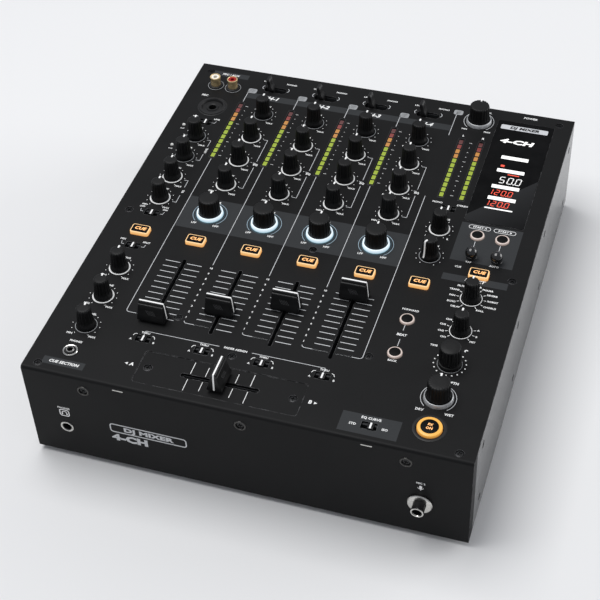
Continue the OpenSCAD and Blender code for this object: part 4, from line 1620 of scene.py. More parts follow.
@dataclass
class Buttons(Maker):
    """Cue buttons and round buttons, each set on its own body."""

    cue_legend: Lettering = Lettering(4.1, 0.03, 0.2, 1.12)
    round_legend: Lettering = Lettering(2.8, 0.03, 0.1, 1.0)

    def cue(self, form: Form, span: Span) -> None:
        """One lit cue button with a black face and its legend."""
        wide, deep = span.size.x, span.size.y
        at = (span.centre.x, span.centre.y, span.low.z)
        tall = span.size.z
        levels = [(0, 0), (0, tall - 1.1), (0.1, tall - 0.6), (0.35, tall - 0.2), (0.65, tall - 0.08),
                  (0.9, tall - 0.35)]
        form.paint = 0
        form.block(at, wide, deep, 1.8, levels)
        form.paint = 1
        form.block(at, wide - 1.8, deep - 1.7, 1.1, [(0, tall - 0.9), (0, tall - 0.2), (0.2, tall - 0.05)])
        form.paint = 2
        form.merge(self.cue_legend.mesh("CUE", Align.CENTRE, 0.12), Matrix.Translation((at[0], at[1],
                                                                                        span.high.z - 0.02)))

    def round(self, form: Form, span: Span) -> None:
        """One round button. The wide one has a black face and a legend in a lit rim."""
        radius, tall = span.size.x / 2, span.size.z
        at = (span.centre.x, span.centre.y, span.low.z)
        if radius < 7:
            form.paint = 0
            form.lathe([(radius, 0), (radius, tall - 1.0), (radius - 0.25, tall - 0.35), (radius - 0.7,
                                                                                          tall - 0.05),
                        (radius - 1.05, tall), (radius - 1.2, tall - 0.5)], at)
            form.paint = 2
            form.lathe([(radius - 1.25, tall - 0.9), (radius - 1.25, tall - 0.15), (radius - 1.5,
                                                                                    tall - 0.02)], at)
            return
        form.paint = 1
        form.lathe([(radius, 0), (radius, tall - 1.0), (radius - 0.3, tall - 0.35), (radius - 0.9,
                                                                                     tall - 0.02),
                    (6.25, tall), (6.15, tall - 0.5)], at, 64)
        form.paint = 2
        form.lathe([(6.1, tall - 1.0), (6.1, tall - 0.15), (5.8, tall - 0.02), (2.0, tall - 0.02)], at, 64)
        form.paint = 3
        for word, step in (("FX", 1.5), ("ON", -1.7)):
            place = Matrix.Translation((at[0], at[1] + step, span.high.z - 0.01))
            form.merge(self.round_legend.mesh(word, Align.CENTRE, 0.1), place)

    def build(self) -> None:
        """Makes both sets of buttons."""
        cues, rounds = Form(), Form()
        for span in self.frame.solids("cue_buttons"):
            self.cue(cues, span)
        for span in self.frame.solids("round_buttons"):
            self.round(rounds, span)
        self.add("cue_button_caps", cues, [PEACH, KEY_BLACK, ORANGE_INK], "cue_buttons",
                 "cue_amber", ["cue_buttons"])
        self.add("round_button_caps", rounds, [CREAM_LIT, AMBER, KEY_BLACK, ORANGE_INK],
                 "round_buttons", "button_cream", ["round_buttons"])


@dataclass
class Switches(Maker):
    """Toggle levers, slide switch knobs and the power rocker."""

    toggle_tilt: float = 20.0
    toggle_pivot: float = 0.5
    ball_r: float = 4.6
    ball_reach: float = 6.2
    slide_tick: tuple[float, float] = (1.2, 5.0)
    rocker_tilt: float = -6.0
    rocker_depth: float = 3.0

    def reach_back(self) -> float:
        """How far the ball or the pivot reaches behind the pivot, whichever is more."""
        lean = self.ball_reach * math.sin(math.radians(self.toggle_tilt))
        return max(1.6, self.ball_r - lean)

    def toggles(self) -> None:
        """Two toggle levers and the nuts that hold their bushings."""
        levers, nuts = Form(), Form()
        tilt = Euler((math.radians(self.toggle_tilt), 0, 0))
        ball = [(self.ball_r * math.cos(a), self.ball_reach + self.ball_r * math.sin(a)) for a in
                [math.radians(d) for d in range(-72, 90, 9)]]
        base = [(0.3, -1.55), (1.1, -1.15), (1.6, 0.0), (1.15, 1.1)]
        for span in self.frame.solids("effect_toggles"):
            x, y = span.centre.x, span.high.y - self.reach_back()
            levers.lathe(base + [(1.05, 1.6)] + ball, (x, y, self.frame.top + self.toggle_pivot), 32,
                         turn=tilt)
            nuts.lathe([(2.4, 0.1), (4.1, 0.0), (4.1, 0.5), (3.8, 0.8), (3.1, 0.8), (3.0, 1.1), (2.8, 1.2),
                        (2.4, 1.2)],
                       (x, y, self.frame.top), 32, hoop=True)
        self.add("toggle_levers", levers, [GLOSS_BLACK], "effect_toggles", "knob_black",
                 ["effect_toggles"])
        self.shop.add("toggle_nuts", nuts.mesh("nuts", 25.0), [BLACK_STEEL], slot="black_screw")

    def slides(self) -> None:
        """Every slide switch knob, ribbed, with a white tick."""
        form = Form()
        for span in self.frame.solids("slide_switches"):
            wide, deep = span.size.x, span.size.y
            low = self.frame.top - 0.6
            at = (span.centre.x, span.centre.y, low)
            tall = span.high.z - low
            form.paint = 0
            form.block(at, wide, deep, 0.5, [(0, 0), (0, tall - 0.5), (0.2, tall - 0.12), (0.4, tall)])
            form.block((at[0], at[1], span.low.z), 2.4, 2.2, 0.3, [(0, 0), (0, 2.0),
                                                                   (0, low - span.low.z + 0.5)])
            form.paint = 1
            tick_w, tick_l = self.slide_tick
            form.block((at[0], at[1], span.high.z - 0.05), tick_w, tick_l, 0.25, [(0, 0), (0, 0.1)])
        self.add("slide_switch_knobs", form, [SWITCH_PLASTIC, POINTER_INK], "slide_switches",
                 "knob_black", ["slide_switches"])

    def rocker(self) -> None:
        """The power rocker on its pin, marked on and off."""
        span = self.frame.span("power_switch")
        rear = self.frame.rear
        centre = Vector((span.centre.x, rear - self.rocker_depth, 61.0))
        whole = Matrix.Translation(centre) @ Matrix.Rotation(math.radians(self.rocker_tilt), 4, "X")
        form = Form()
        face = [(5.0, -6.4), (4.55, -4.5), (4.1, -2.2), (3.8, 0.0), (4.1, 2.2), (4.55, 4.5), (5.0, 6.4)]
        back = [(4.4, 6.55), (-4.0, 5.2), (-4.0, -5.2), (4.4, -6.55)]
        across = Matrix(((0, 0, 1, 0), (1, 0, 0, 0), (0, 1, 0, 0), (0, 0, 0, 1)))
        form.extrude(face + back, -8.0, 8.0, whole @ across)
        pin = Matrix.Rotation(math.radians(90), 4, "Y")
        form.extrude(circle(1.2, 20), -10.0, 10.0, whole @ pin)
        form.paint = 1
        out = Matrix.Rotation(math.pi, 4, "Z") @ Matrix.Rotation(math.radians(90), 4, "X")
        marks = Form()
        marks.band((0, -3.7, 4.35), 0.9, 1.4, 0.3)
        marks.block((0, 3.7, 4.35), 0.55, 3.0, 0.1, [(0, 0), (0, 0.3)])
        form.merge(marks.mesh("marks"), whole @ out)
        self.add("power_rocker", form, [SWITCH_PLASTIC, POINTER_INK], "power_switch", "knob_black",
                 ["power_switch"])

    def build(self) -> None:
        """Makes the levers, slides and rocker."""
        self.toggles()
        self.slides()
        self.rocker()


# ---- Lights and the window ----


@dataclass
class Lights(Maker):
    """The level meters, the lamps and the rings round the large knobs."""

    leds: int = 12
    led_size: tuple[float, float] = (3.1, 4.6)
    first_led: float = 48.8
    led_step: float = 6.03

    def meters(self) -> None:
        """A row of lit bars in each meter slot, coloured by how far up the scale it is."""
        self.shop.dress("meter_lenses", Gloss("meter_smoked_lens", (0.003, 0.0032, 0.003), 0.15, 0.0, 0.3))
        frame = self.frame
        start = frame.place(0, self.first_led)[1]
        step = self.led_step
        bounds = [start - step * (self.leds - 0.5), start - step * 3.5, start - step * 1.5,
                  start - step * 0.5]
        green, amber, red, dim = (0.42, 0.56, 0.012), (0.72, 0.3, 0.04), (0.3, 0.025, 0.016), (0.12, 0.01,
                                                                                               0.009)
        stops = ((bounds[0], green), (bounds[1], amber), (bounds[2], red), (bounds[3], dim), (start + step,
                                                                                              dim))
        finish = Lit("meter_leds", 1, stops, 0.62, stepped=True, depth=0.85)
        columns = [s for s in frame.solids("meter_lenses") if s.size.y > 20]
        self.lamps([s for s in frame.solids("meter_lenses") if s.size.y < 20])
        lens_top = columns[0].high.z
        bar = Form()
        wide, tall = self.led_size
        bar.block((0, 0, -0.2), wide, tall, 0.35, [(0, 0), (0, 0.3), (0.2, 0.38)])
        points = [(s.centre.x, start, lens_top) for s in columns]
        self.repeat("meter_led_bars", bar, finish, "led_lens", points, pattern=Pattern.ROWS,
                    count=self.leds,
                    step=(0.0, -step, 0.0))
        bezel = Form()
        for span in columns:
            size = span.high - span.low
            rings = []
            for grow, z in ((0.1, -0.3), (1.5, 0.0), (1.5, 0.12), (1.3, 0.18), (0.1, 0.18)):
                outline = rounded(size.x + grow, size.y + grow, 0.6, 3)
                rings.append([Vector((span.centre.x + x, span.centre.y + y, frame.top + z)) for x,
                              y in outline])
            bezel.loft(rings, closed=True)
        self.add("meter_bezels", bezel, [SHADOW_PLASTIC], slot="led_lens")

    def lamps(self, spans: Sequence[Span]) -> None:
        """A small domed lamp over each round light."""
        form = Form()
        for span in spans:
            at = (span.centre.x, span.centre.y, span.high.z - 0.6)
            form.lathe([(1.3, 0), (1.3, 0.5), (1.15, 0.95), (0.8, 1.25), (0.3, 1.38)], at, 24)
        self.add("warning_lamps", form, [LAMP_WHITE], slot="led_lens")

    def rings(self) -> None:
        """A ring round each large knob: those of the filters are lit, the others are plain satin. Round each
        lit ring, a flat glowing teal band on the panel is painted light spill.
        """
        spans = self.frame.solids("light_rings")
        top = self.frame.top
        filters = [s for s in spans if abs(s.centre.y) < 10]
        radius = (spans[0].size.x) / 2
        tall = spans[0].high.z - top
        glow = ((top, (0.3, 0.5, 0.6)), (top + 1.2, (0.62, 0.78, 0.88)), (top + tall, (0.82, 0.93, 1.0)))
        inner = radius - 1.35
        section = [(inner, 0), (radius, 0), (radius - 0.06, 0.5), (radius - 0.45, tall - 0.5),
                   (radius - 0.7, tall - 0.1), (radius - 0.95, tall), (inner + 0.05, tall - 0.15)]
        plain = [s for s in spans if s not in filters]
        kinds = (("lit", filters, Lit("ring_blue", 2, glow, 0.72, 0.2)), ("plain", plain, SILVER_RING))
        for kind, chosen, finish in kinds:
            ring = Form()
            ring.lathe(section, steps=72, hoop=True)
            points = [(s.centre.x, s.centre.y, top) for s in chosen]
            self.repeat(f"knob_rings_{kind}", ring, finish, "light_ring", points,
                        stands_for=["light_rings"])
        # Painted light: a thin glowing teal band on the panel just outside each lit ring, for its light
        # falling on the coat.
        painted_spill = Form()
        for span in filters:
            painted_spill.band((span.centre.x, span.centre.y, top - 0.01), radius + 0.05, radius + 1.5, 0.05)
        self.add("ring_glow", painted_spill, [PAINTED_RING_SPILL], slot="light_ring")

    def build(self) -> None:
        """Makes the lights."""
        self.meters()
        self.rings()


@dataclass
class Display(Maker):
    """The glossy window and what its screen shows, made up and generic."""

    bars: tuple[tuple[float, float], ...] = ((59.3, 4.0), (75.6, 4.0), (95.5, 4.0), (109.5, 4.0),
                                             (121.7, 1.4))
    numbers: tuple[tuple[str, float], ...] = (("50.0", 87.0), ("120.0", 102.6), ("120.0", 116.0))
    column: float = 283.0
    SEGMENTS = {"0": "abcdef", "1": "bc", "2": "abdeg", "5": "acdfg"}

    def number(self, form: Form, text: str, at: Point, z: float, tall: float) -> None:
        """Adds a number in seven segment digits of some height, centred on a place."""
        wide = 0.5 * tall
        pitch = 1.75 * wide
        x, slant = at[0] - pitch * (len(text.replace(".", "")) - 1) / 2, 0.12
        corners = {
            "a": ((0, 1), (1, 1)), "b": ((1, 0.5), (1, 1)), "c": ((1, 0), (1, 0.5)), "d": ((0, 0), (1, 0)),
            "e": ((0, 0), (0, 0.5)), "f": ((0, 0.5), (0, 1)), "g": ((0, 0.5), (1, 0.5)),
        }
        for mark in text:
            if mark == ".":
                form.block((x - pitch / 2 - 0.15, at[1] - tall / 2, z), 0.95, 0.95, 0.15,
                           [(0, 0), (0, 0.06)])
                continue
            for segment in self.SEGMENTS[mark]:
                ends = []
                for across, up in corners[segment]:
                    height = (up - 0.5) * tall
                    ends.append(Vector((x + (across - 0.5) * wide + slant * height, at[1] + height)))
                along = (ends[1] - ends[0]).normalized() * 0.28
                form.stroke([ends[0] + along, ends[1] - along], 0.66, z, z + 0.06)
            x += pitch

    def build(self) -> None:
        """Dresses the window and lights its screen."""
        # The last values place the window's painted reflection, lighter below a slanted line towards the
        # right and the front.
        tint = Gloss("window_smoked_gloss_painted_reflection", (0.0016, 0.0016, 0.0017), 0.08, 0.0, 0.1, (1.13, -63.0, 62.0))
        self.shop.dress("display_window", tint)
        frame = self.frame
        face = frame.span("display_window").high.z
        form = Form()
        for from_rear, tall in self.bars:
            form.block((*frame.place(self.column, from_rear), face - 0.01), 21.5, tall, 0.4,
                       [(0, 0), (0, 0.05)])
        self.number(form, self.numbers[0][0], frame.place(self.column + 2.0, self.numbers[0][1]), face,
                    7.2)
        form.paint = 1
        for text, from_rear in self.numbers[1:]:
            self.number(form, text, frame.place(self.column - 2.5, from_rear), face, 5.8)
        form.block((*frame.place(275.5, 70.0), face - 0.01), 3.0, 2.4, 0.5, [(0, 0), (0, 0.05)])
        form.block((*frame.place(286.0, 79.7), face - 0.01), 9.0, 1.0, 0.2, [(0, 0), (0, 0.05)])
        form.paint = 2
        form.block((*frame.place(self.column, 21.0), face - 0.01), 38.0, 5.6, 1.0, [(0, 0), (0, 0.05)])
        form.paint = 3
        badge = Lettering(4.4, 0.05, 0.2, 1.25).mesh("DJ MIXER", Align.CENTRE, 0.05)
        form.merge(badge, Matrix.Translation((*frame.place(self.column, 21.0), face + 0.06)))
        form.paint = 0
        name = Lettering(7.0, 0.05, 0.2, 1.6).mesh("4-CH", Align.CENTRE, 0.05)
        form.merge(name, Matrix.Translation((*frame.place(self.column - 3.0, 39.0), face + 0.02)))
        inks = [Ink("screen_white", (0.9, 0.9, 0.88), 0.55), Ink("screen_red", (0.85, 0.09, 0.05), 0.5),
                Ink("badge_silver", (0.52, 0.53, 0.55), 0.25), SHADOW_PLASTIC]
        self.add("display_graphics", form, inks, slot="led_lens")


# ---- Sockets ----


@dataclass
class Sockets(Maker):
    """Every socket on the top, front and rear, with the housings behind them."""

    phono_r: float = 4.15
    phono_l: float = 9.0
    jack_bore: float = 3.2
    steps: int = 40

    def phono(self) -> dict[str, Form]:
        """A phono socket's base ring, barrel and insert, the panel at z = 0."""
        base, barrel, insert = Form(), Form(), Form()
        base.lathe([(4.2, -8), (4.9, -8), (4.9, 0), (5.8, 0), (5.8, 0.9), (5.4, 1.2), (4.2, 1.2)],
                   hoop=True,
                   steps=self.steps)
        r, top = self.phono_r, self.phono_l
        barrel.lathe([(r - 0.75, 1.0), (r, 0.2), (r, 0.9), (r, top - 1.3), (r + 0.25, top - 0.9),
                      (r + 0.25, top - 0.25),
                      (r, top), (r - 0.45, top), (r - 0.75, top - 0.4)], hoop=True, steps=self.steps)
        insert.lathe([(1.6, 0.5), (r - 0.8, 0.5), (r - 0.8, top - 0.5), (r - 1.1, top - 0.2),
                      (1.9, top - 0.2), (1.6, top - 0.5)], hoop=True,
                     steps=self.steps)
        return {"base": base, "barrel": barrel, "insert": insert}

    def phonos(self) -> None:
        """The aux pair on top and the rear rows: cream to the left and upper row, red to the other."""
        frame = self.frame
        near = [(*frame.place(x, 27), frame.top) for x in (20.8, 36.0)]
        places, turns, red = list(near), [UP, UP], [False, True]
        for c in CHANNELS:
            for side in (-1, 1):
                for z in (29.0, 55.0):
                    places.append((frame.place(58 + c * 34, 0)[0] + side * 7, frame.rear, z))
                    turns.append(TO_REAR)
                    red.append(z < 40)
        for part, form in self.phono().items():
            if part == "insert":
                continue
            finish = GOLD if part == "barrel" else SHADOW_PLASTIC
            self.repeat(f"phono_{part}s", form, finish, "socket_metal", places, turns)
        for is_red, finish in ((False, CREAM_PLASTIC), (True, RED_PLASTIC)):
            chosen = [i for i, flag in enumerate(red) if flag == is_red]
            name = f"phono_inserts_{'red' if is_red else 'cream'}"
            self.repeat(name, self.phono()["insert"], finish, "socket_metal", [places[i] for i in chosen],
                        [turns[i] for i in chosen])

    def hex_nut(self, form: Form, at: Sequence[float], turn: Euler, radius: float, low: float,
                high: float) -> None:
        """Adds a six sided nut with chamfered corners and an open middle, from low to high."""
        hole = 0.6 * radius
        form.lathe([(hole, low), (radius, low), (radius, high - 0.35), (radius - 0.5, high), (hole, high)],
                   at, 6,
                   hoop=True, turn=turn)

    def jacks(self) -> None:
        """Quarter inch jacks: headphones and microphone at the front, two pairs at the rear."""
        frame, metal, dark = self.frame, Form(), Form()
        bore, steps = self.jack_bore, self.steps
        z = 33.5
        phones = (frame.place(26.9, 0)[0], frame.front, z)
        metal.lathe([(bore + 0.35, -0.5), (5.0, -0.5), (5.0, 0.55), (4.7, 0.8), (4.0, 0.8), (3.6, 0.5)],
                    phones, steps,
                    hoop=True, turn=TO_FRONT)
        dark.lathe([(bore, -24), (4.5, -24), (4.5, -0.2), (3.7, -0.2), (3.55, 0.35), (bore, 0.2)], phones,
                   steps,
                   hoop=True, turn=TO_FRONT)
        mic = (frame.place(285.5, 0)[0], frame.front, z + 3.7)
        metal.lathe([(4.6, 0), (8.6, 0), (8.8, 0.3), (8.8, 1.4), (8.3, 2.0), (7.4, 2.2), (4.6, 2.2)], mic,
                    48,
                    hoop=True, turn=TO_FRONT)
        metal.lathe([(bore + 0.1, 8.2), (4.55, 8.2), (4.55, 8.8), (4.3, 9.0), (bore + 0.4, 9.0)], mic,
                    steps, hoop=True,
                    turn=TO_FRONT)
        dark.lathe([(bore, -17), (4.5, -17), (4.5, 8.2), (bore, 8.2)], mic, steps, hoop=True,
                   turn=TO_FRONT)
        for from_left in (190.0, 208.0):
            for height in (29.0, 55.0):
                at = (frame.place(from_left, 0)[0], frame.rear, height)
                self.hex_nut(metal, at, TO_REAR, 6.5, 0.0, 1.8)
                metal.lathe([(bore + 0.3, 0), (4.4, 0), (4.4, 1.8), (4.1, 2.0), (bore + 0.4, 2.0)], at,
                            steps,
                            hoop=True, turn=TO_REAR)
                dark.lathe([(bore, -24), (4.5, -24), (4.5, 0), (bore, 0.8)], at, steps, hoop=True,
                           turn=TO_REAR)
        for at, turn in ((phones, TO_FRONT), (mic, TO_FRONT)):
            dark.block(at, 14, 12, 0.6, [(0, -27), (0, -25.2)], turn=turn)
        self.add("jack_metal", metal, [NICKEL], slot="socket_metal")
        self.add("jack_housings", dark, [SHADOW_PLASTIC], slot="socket_metal")

    def combo(self) -> None:
        """The combination microphone socket: a smooth black flange, a jack bore and three pin holes."""
        above = [s for s in self.frame.solids("sockets") if s.high.z > self.frame.top and s.centre.y > 100]
        span = max(above, key=lambda s: s.size.x)
        at = (span.centre.x, span.centre.y, self.frame.top)
        form = Form()
        bore = self.jack_bore
        form.lathe([(bore, -21), (10.1, -25), (10.1, -0.2), (11.2, 0), (11.2, 0.5), (10.9, 0.85),
                    (10.3, 1.0), (9.2, 0.95),
                    (8.7, 0.2), (8.4, -0.9), (5.2, -0.9), (4.8, -0.2), (4.0, -0.1), (bore, -0.6)], at, 72,
                    hoop=True)
        # A flat black ring on the panel from 11.3 to 12.4 out, darkening the panel round the flange.
        form.lathe([(11.3, -0.01), (12.4, -0.01), (12.4, 0.1), (12.1, 0.25), (11.3, 0.25)], at, 72,
                   hoop=True)
        form.block((at[0], at[1] + 10.0, at[2] + 0.9), 3.6, 1.6, 0.4, [(0, 0), (0, 0.35)])
        for turn in (30, 150, 270):
            a = math.radians(turn)
            place = (at[0] + 6.7 * math.cos(a), at[1] + 6.7 * math.sin(a), at[2] - 1.0)
            form.lathe([(0.75, 0), (1.3, 0), (1.3, 0.22), (0.75, 0.22)], place, 20, hoop=True)
        self.add("combo_socket", form, [SHADOW_PLASTIC], slot="socket_metal")

    def mini(self) -> None:
        """The small headphone jack: a nickel nut and collar round a dark bore."""
        at = (*self.frame.place(28.1, 345.5), self.frame.top)
        form = Form()
        form.lathe([(4.2, 0), (5.5, 0), (5.5, 0.9), (5.2, 1.3), (4.5, 1.3), (4.2, 1.1)], at, 40, hoop=True)
        form.lathe([(2.35, 0.5), (2.75, 0.5), (2.75, 2.0), (2.6, 2.2), (2.35, 2.2)], at, 32, hoop=True)
        form.paint = 1
        form.lathe([(2.5, 0.3), (4.1, 0.3), (4.1, 1.3), (3.7, 1.7), (2.5, 1.7)], at, 6, hoop=True)
        form.lathe([(1.8, -11), (2.9, -11), (2.9, -0.2), (2.3, -0.2), (2.3, 2.0), (1.8, 1.9)], at, 32,
                   hoop=True)
        form.block((*at[:2], at[2] - 13.5), 10, 12, 0.5, [(0, 0), (0, 2.0)])
        self.add("mini_jack", form, [NICKEL, SHADOW_PLASTIC], slot="socket_metal")

    def outputs(self) -> None:
        """The two balanced outputs and the earth posts on the rear panel."""
        frame, metal, dark = self.frame, Form(), Form()
        for z in (61.0, 31.0):
            at = (frame.place(232.0, 0)[0], frame.rear, z)
            matrix = Matrix.Translation(at) @ TO_REAR.to_matrix().to_4x4()
            outline = rounded(26, 28, 3, 9)
            hole = [(8.6 * math.cos(a), 8.6 * math.sin(a)) for a in (math.atan2(y, x) for x, y in outline)]
            rings = [[matrix @ Vector((x, y, h)) for x, y in ring]
                     for ring, h in ((hole, 0), (outline, 0), (outline, 1.7), (rounded(25.4, 27.4, 2.7, 9),
                                                                               2.0), (hole, 2.0))]
            metal.loft(rings, closed=True)
            dark.lathe([(8.4, -15.5), (10.3, -15.5), (10.3, -0.1), (9.2, 0.3), (8.55, 1.6), (8.4, 1.4)],
                       at, 48, hoop=True,
                       turn=TO_REAR)
            dark.lathe([(8.6, -18), (8.6, -15.4)], at, 48, turn=TO_REAR)
            for turn in (30, 150, 270):
                a = math.radians(turn)
                pin = matrix @ Vector((4 * math.cos(a), 4 * math.sin(a), 0))
                metal.lathe([(1.15, -17), (1.15, -6.4), (0.9, -5.8), (0.3, -5.5)], pin, 16, turn=TO_REAR)
            for sx, sy in ((-1, 1), (1, -1)):
                metal.lathe([(2.3, 1.9), (2.3, 2.5), (1.7, 2.9), (0.5, 3.0)],
                            matrix @ Vector((sx * 10, sy * 11.2, 0)), 20, turn=TO_REAR)
        for from_left in (24.0, 36.0):
            at = (frame.place(from_left, 0)[0], frame.rear, 55.0)
            metal.lathe([(1.9, -8), (1.9, 8.6), (1.5, 9.0)], at, 24, turn=TO_REAR)
            metal.lathe([(1.95, 0.05), (4.2, 0.05), (4.2, 1.0), (3.8, 1.3), (4.2, 1.7), (4.2, 6.6),
                         (3.8, 7.0),
                         (1.95, 7.0)], at, 12, hoop=True, turn=TO_REAR)
        self.add("output_metal", metal, [NICKEL], slot="socket_metal")
        self.add("output_shells", dark, [SHADOW_PLASTIC], slot="socket_metal")

    def inlet(self) -> None:
        """The mains inlet: a flanged recess with three blades."""
        frame, dark = self.frame, Form()
        at = (frame.place(285.0, 0)[0], frame.rear, 29.0)
        matrix = Matrix.Translation(at) @ TO_REAR.to_matrix().to_4x4()
        sections = [(24.4, 16.4, 2.0, -14.0), (26.8, 19.8, 1.0, -20.0), (26.8, 19.8, 1.0, 0.0),
                    (30.6, 23.6, 1.5, 0.0),
                    (30.6, 23.6, 1.5, 0.9), (30.0, 23.0, 1.3, 1.2), (25.0, 17.0, 2.4, 1.2),
                    (24.4, 16.4, 2.0, 0.6)]
        rings = [[matrix @ Vector((x, y, h)) for x, y in rounded(w, d, r, 4)] for w, d, r, h in sections]
        dark.loft(rings, closed=True)
        dark.block(at, 24.6, 16.6, 2.0, [(0, -16.0), (0, -13.9)], turn=TO_REAR)
        dark.paint = 1
        for x, y in ((-7, -2), (7, -2), (0, 2)):
            dark.block(matrix @ Vector((x, y, 0)), 2.0, 4.0, 0.3, [(0, -15.0), (0, -4.6), (0.5, -4.0)],
                       turn=TO_REAR)
        self.add("mains_inlet", dark, [SHADOW_PLASTIC, NICKEL], slot="socket_metal",
                 stands_for=["sockets"])

    def build(self) -> None:
        """Makes every socket."""
        self.phonos()
        self.combo()
        self.mini()
        self.jacks()
        self.outputs()
        self.inlet()


# ---- Printing ----


@dataclass
class Legends(Maker):
    """Everything printed on the case, by ink. Words are generic names of functions."""

    columns: tuple[float, ...] = (72.7, 116.5, 160.3, 204.1)
    pitch: float = 43.8
    divider: float = 22.2
    fader_top: float = 240.7
    tick_step: float = 5.78
    ticks: int = 11
    scale_r: float = 10.3
    white: Print = field(init=False)
    pale: Print = field(init=False)
    grey: Print = field(init=False)
    blue: Print = field(init=False)

    def __post_init__(self) -> None:
        """Starts a print for each ink on the control panel."""
        self.white, self.pale, self.grey, self.blue = (Print(level(self.frame.top)) for _ in range(4))

    def at(self, from_left: float, from_rear: float) -> Point:
        """A place on the control panel."""
        return self.frame.place(from_left, from_rear)

    def path(self, *points: Point) -> list[Point]:
        """A path on the control panel from places on it."""
        return [self.at(*p) for p in points]

    def trace(self, sheet: Print, width: float, *points: Point) -> None:
        """Prints a line through places on the control panel."""
        sheet.line(self.path(*points), width)

    def words(self, style: Lettering, *words: tuple[str, float, float]) -> None:
        """Prints white words of one style, each with its place on the control panel."""
        for text, x, y in words:
            self.white.word(text, self.at(x, y), style)

    def strips(self) -> None:
        """Lines, bands and words of the four channel strips."""
        edges = [self.columns[0] - self.divider] + [c + self.divider - 0.5 for c in self.columns]
        bottom = 298.5
        for n, x in enumerate(edges):
            top_block = 12.0 if n == 4 else 27.0
            self.trace(self.pale, 0.45, (x, top_block), (x, 43.0))
            self.grey.bar(self.at(x + (1.0 if n == 4 else 3.0), top_block), 7.5, 6.0, 1.6)
            for k in range(3):
                self.white.bar(self.at(x + (1.0 if n == 4 else 3.0), top_block - 1.5 + 1.5 * k),
                               4.6 - k * 0.8, 0.45)
            self.trace(self.pale, 0.45, (x, 120.5), (x, 237.0))
        for x in (edges[0], edges[4]):
            self.trace(self.pale, 0.45, (x, 237.0), (x, bottom - 2))
        for n, x in enumerate(edges[1:4]):
            for k in range(10):
                y = self.fader_top + self.tick_step * k
                self.words(SMALL, (str(10 - k), x, y))
        for c, x in enumerate(self.columns):
            left = edges[c]
            corner = self.path((left, bottom - 2), (left + 0.6, bottom - 0.6), (left + 2, bottom),
                               (x - 2.7, bottom))
            self.pale.line(corner, 0.45)
            self.channel(c, x)
        last, end = self.columns[3], edges[4]
        corner = self.path((last + 2.7, bottom), (end - 2, bottom), (end - 0.6, bottom - 0.6),
                           (end, bottom - 2))
        self.pale.line(corner, 0.45)

    def channel(self, number: int, x: float) -> None:
        """Words and brackets of one channel strip.

        Args:
            number: The channel, from 0.
            x: Its knobs' distance from the left edge.
        """
        self.words(CHANNEL_NAME, (f"CH-{number + 1}", x - 1.5, 33.4))
        self.selector(x)
        for word, y in (("GAIN", 44.3), ("HIGH", 75.0), ("MID", 105.7), ("LOW", 136.4)):
            self.words(SMALL, (word, x, y))
        for y in (55.5, 86.2, 116.9, 147.6):
            self.words(SMALL, ("MIN", x - 8.6, y + 10.2), ("MAX", x + 8.4, y + 10.2))
        side = x + 14.3
        for start, stop in ((87.0, 115.0), (122.5, 149.0)):
            self.trace(self.pale, 0.4, (side, start), (side, stop))
        self.trace(self.pale, 0.4, (side, 87.2), (side - 3.6, 87.2))
        self.trace(self.pale, 0.4, (side, 148.8), (side - 3.6, 148.8))
        self.trace(self.pale, 0.4, (side, 117.2), (side - 2.6, 117.2))
        self.words(Lettering(2.8, 0.045), ("EQ", side + 0.2, 119.0))
        self.words(Lettering(3.4, 0.035, 0.15), ("FILTER", x - 1.0, 170.3))
        self.words(Lettering(2.7, 0.03), ("LPF", x - 8.8, 196.2), ("HPF", x + 8.8, 196.2))
        self.blue.ring(self.at(x, 183.7), 12.9, 13.3, -50, 230)
        self.words(SMALL, ("A", x - 8.6, 323.0), ("B", x + 8.6, 323.0), ("THRU", x, 315.2))
        for side in (-1, 1):
            hook = [(x + side * 5.6, 317.0), (x + side * 7.2, 317.4), (x + side * 8.2, 319.4)]
            self.trace(self.white, 0.45, *hook)

    def selector(self, x: float) -> None:
        """The names and curved marks beside one input selector."""
        middle = x - 0.9
        self.words(SMALL, ("LINE", middle - 10.6, 11.2), ("PHONO", middle + 11.4, 11.2))
        for side, start in ((-1, 118), (1, -62)):
            self.pale.ring(self.at(middle + side * 9.0, 19.6), 2.3, 2.75, start, start + 124)

    def dials(self) -> None:
        """Scales of dots and plain rings round the knobs, all from one rule."""
        frame = self.frame
        thick = ("high_knob", "mid_knob", "low_knob", "mic_high", "mic_low", "phones_mix", "phones_tone",
                 "balance")
        bare = ("effect_select_knob", "effect_channel_knob")
        places: list[Vector] = []
        for node in frame.loaded["nodes"]:
            if "knob" not in node:
                continue
            span = frame.span(node)
            centre = Vector(((span.low.x + span.high.x) / 2, (span.low.y + span.high.y) / 2, frame.top))
            if span.size.x > 15.5:
                continue
            if node.startswith(thick):
                self.white.ring(centre[:2], 6.9, 8.05)
            elif node in bare:
                self.white.ring(centre[:2], 7.5, 8.1)
            else:
                self.grey.ring(centre[:2], 7.6, 8.0)
            if node not in bare:
                places.append(centre)
        dot = Form()
        dot.lathe([(0.36, -0.01), (0.36, 0.03), (0.22, 0.05)], steps=12)
        step = math.radians(30)
        self.repeat("dial_dots", dot, WHITE_INK, "painted_top", places, pattern=Pattern.ARCS, count=11,
                    radius=self.scale_r, first=-5 * step, step=step)
        encoder = frame.span("time_encoder")
        middle = [(encoder.centre.x, encoder.centre.y, frame.top)]
        dot = Form()
        dot.lathe([(0.55, -0.01), (0.55, 0.03), (0.4, 0.05)], steps=12)
        self.repeat("encoder_dots", dot, WHITE_INK, "painted_top", middle, pattern=Pattern.ARCS, count=18,
                    radius=11.2, first=0.0, step=math.radians(20))
        # Painted highlight: a thin grey ring on the panel just outside the encoder's foot, for the light on
        # its glossy rim.
        self.grey.ring(middle[0][:2], 8.5, 8.8)
        self.rotary_scales()

